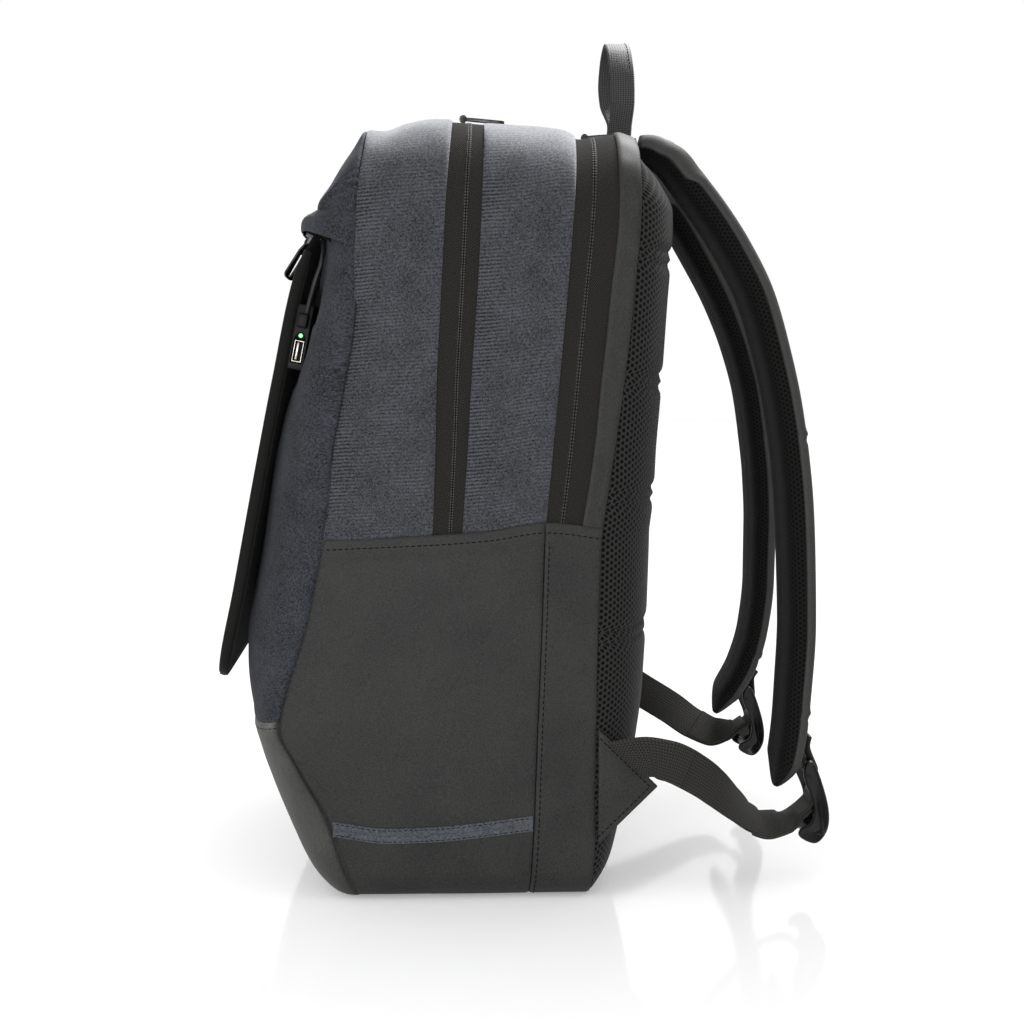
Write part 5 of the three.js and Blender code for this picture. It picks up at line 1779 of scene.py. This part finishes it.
for side, tag in SIDES:
    mirror = np.array((side, 1, 1))
    rows = strap_rows(tag)
    sections = strap_sections(rows, PAD_W, PAD_T) * mirror
    # The strap pad wears the darker spacer mesh: painted shade
    strap = loop_piece(
        f"strap_pad_{tag}_mesh", sections, "air_mesh", (f"strap_pad_{tag}",), material=LOOKS["strap_mesh_painted_shade"],
    )
    shares, folds = cover_shape(rows)
    sections = strap_sections(rows, COVER_LOOP_W, shares, COVER_GROW, GAP + folds) * mirror
    cover = (f"strap_cover_{tag}",)
    # The cover wears the lighter copy of the coated cloth: painted light
    loop_piece(f"strap_cover_{tag}_cloth", sections, "coated", cover, material=LOOKS["strap_coated_painted_light"])
    x, y, z, twist = along_rows(LOWER_WEBS[tag], WEB_READS, "x y z twist")
    web_line, (twist,) = even(np.stack([x, y, z], -1), [np.radians(twist)], WEB_STATIONS)
    ahead = unit(np.gradient(web_line, axis=0))
    upright = stack(0 * twist, -ahead[:, 2], ahead[:, 1])
    web_wide = upright * np.cos(twist)[:, None] + ACROSS * np.sin(twist)[:, None]
    ribbon(
        f"lower_web_{tag}_webbing", web_line, web_wide, WEB_WIDTH, WEB_THICK, "webbing",
        (f"lower_web_{tag}",), side, slant=WEB_SLANT,
    )
    loop = loop_line(rows, BUCKLE_SHIFT[tag])
    ribbon(
        f"strap_loop_{tag}_webbing", loop, ACROSS + 0 * loop, WEB_WIDTH, WEB_THICK, "webbing",
        (f"strap_loop_{tag}",), side,
    )
    web_out = np.cross(ahead, unit(web_wide))
    web_out = web_out * np.sign(web_out[0, 0])
    for part, first, last, off, slant in WEB_LAYERS:
        layer = (web_line + web_out * off)[first:last]
        wide = web_wide[first:last]
        ribbon(
            f"{part}_{tag}", layer, wide, WEB_WIDTH - WEB_INSET, WEB_THICK, "webbing", side=side, slant=slant,
        )
    softened(f"wing_{tag}", "coated", width=0.8)
    stitches(f"wing_stitches_{tag}", [wing_line(k, side) for k in (0, 1)], pitch=3.4, length=2.5)

# Floor and backdrop
FLOOR = 6.0
FLOOR_DEPTH = -0.0004
floor_mesh = bpy.data.meshes.new("floor")
corners = [(x * FLOOR, y * FLOOR, FLOOR_DEPTH) for x, y in ((-1, -1), (1, -1), (1, 1), (-1, 1))]
floor_mesh.from_pydata(corners, [], [(0, 1, 2, 3)])
floor_look = Shade("pale_floor", 0.09, Specular_IOR_Level=0.5)
tint = floor_look.noise(floor_look.object_place(), size=900)
floor_look.colour(floor_look.blend(tint, rgb(250, 250, 250), rgb(253, 253, 253)))
floor_mesh.materials.append(floor_look.material)
floor = placed("floor", floor_mesh)

world = bpy.data.worlds.new("studio")
world.use_nodes = True
backdrop = world.node_tree.nodes["Background"]
backdrop.inputs["Color"].default_value = (1, 1, 1, 1)
backdrop.inputs["Strength"].default_value = 1.0
bpy.context.scene.world = world

# Lamps, each for some of the pieces
LIGHTS = (
    # name, what it lights, place, aim, size, power
    ("cloth_light", "cloth", (-0.6, 1.0, 2.0), (0, 0.1, 0.4), 0.9, 430),
    ("top_light", "rest", (-0.6, 0.7, 2.1), (0, 0.1, 0.4), 1.1, 130),
    ("side_light", "cloth", (2.0, -0.4, 0.3), (0, 0, 0.2), 1.2, 37),
    ("low_light", "rest", (1.9, -0.3, 0.15), (0, 0, 0.06), 1.0, 36),
    ("foot_light", "foot", (0.5, -1.3, 0.35), (0, -0.08, 0.06), 0.6, 42),
)
LAMP_GLOSS = 0.3
FLOOR_WASH = 1.1
CLOTHS = [LOOKS[name] for name in ("side_fabric", "front_fabric", "handle")]
wash = bpy.data.lights.new("floor_light", "SUN")
wash.energy = FLOOR_WASH
wash.use_shadow = False
floor_only = bpy.data.collections.new("lit_floor")
floor_only.objects.link(floor)
placed("floor_light", wash).light_linking.receiver_collection = floor_only
lit = {name: bpy.data.collections.new(f"lit_{name}") for name in ("cloth", "rest", "foot")}
lit["foot"].objects.link(bpy.data.objects["front_lower_cloth"])
for thing in bpy.context.scene.objects:
    if thing.type in ("MESH", "CURVE") and thing is not floor:
        worn = thing.data.materials[0] if thing.data.materials else None
        lit["cloth" if worn in CLOTHS else "rest"].objects.link(thing)
for name, group, place, aim, size, power in LIGHTS:
    lamp = bpy.data.lights.new(name, "AREA")
    lamp.energy = power
    lamp.size = size
    lamp.specular_factor = LAMP_GLOSS
    holder = placed(name, lamp)
    holder.location = place
    holder.rotation_euler = (Vector(aim) - Vector(place)).to_track_quat("-Z", "Y").to_euler()
    holder.light_linking.receiver_collection = lit[group]

# Camera
level = math.cos(CAMERA_PITCH)
forward = Vector((-math.cos(CAMERA_YAW) * level, math.sin(CAMERA_YAW) * level, -math.sin(CAMERA_PITCH)))
right = Vector((math.sin(CAMERA_YAW), math.cos(CAMERA_YAW), 0))
up = right.cross(forward)
eye = bpy.data.cameras.new("photo_camera")
eye.lens = CAMERA_LENS
eye.sensor_width = CAMERA_SENSOR
camera = placed("photo_camera", eye)
turned = Matrix((right, up, -forward)).transposed().to_4x4()
camera.matrix_world = Matrix.Translation(Vector(CAMERA_PLACE) * MM) @ turned
bpy.context.scene.camera = camera
bpy.context.scene.view_settings.view_transform = "Standard"
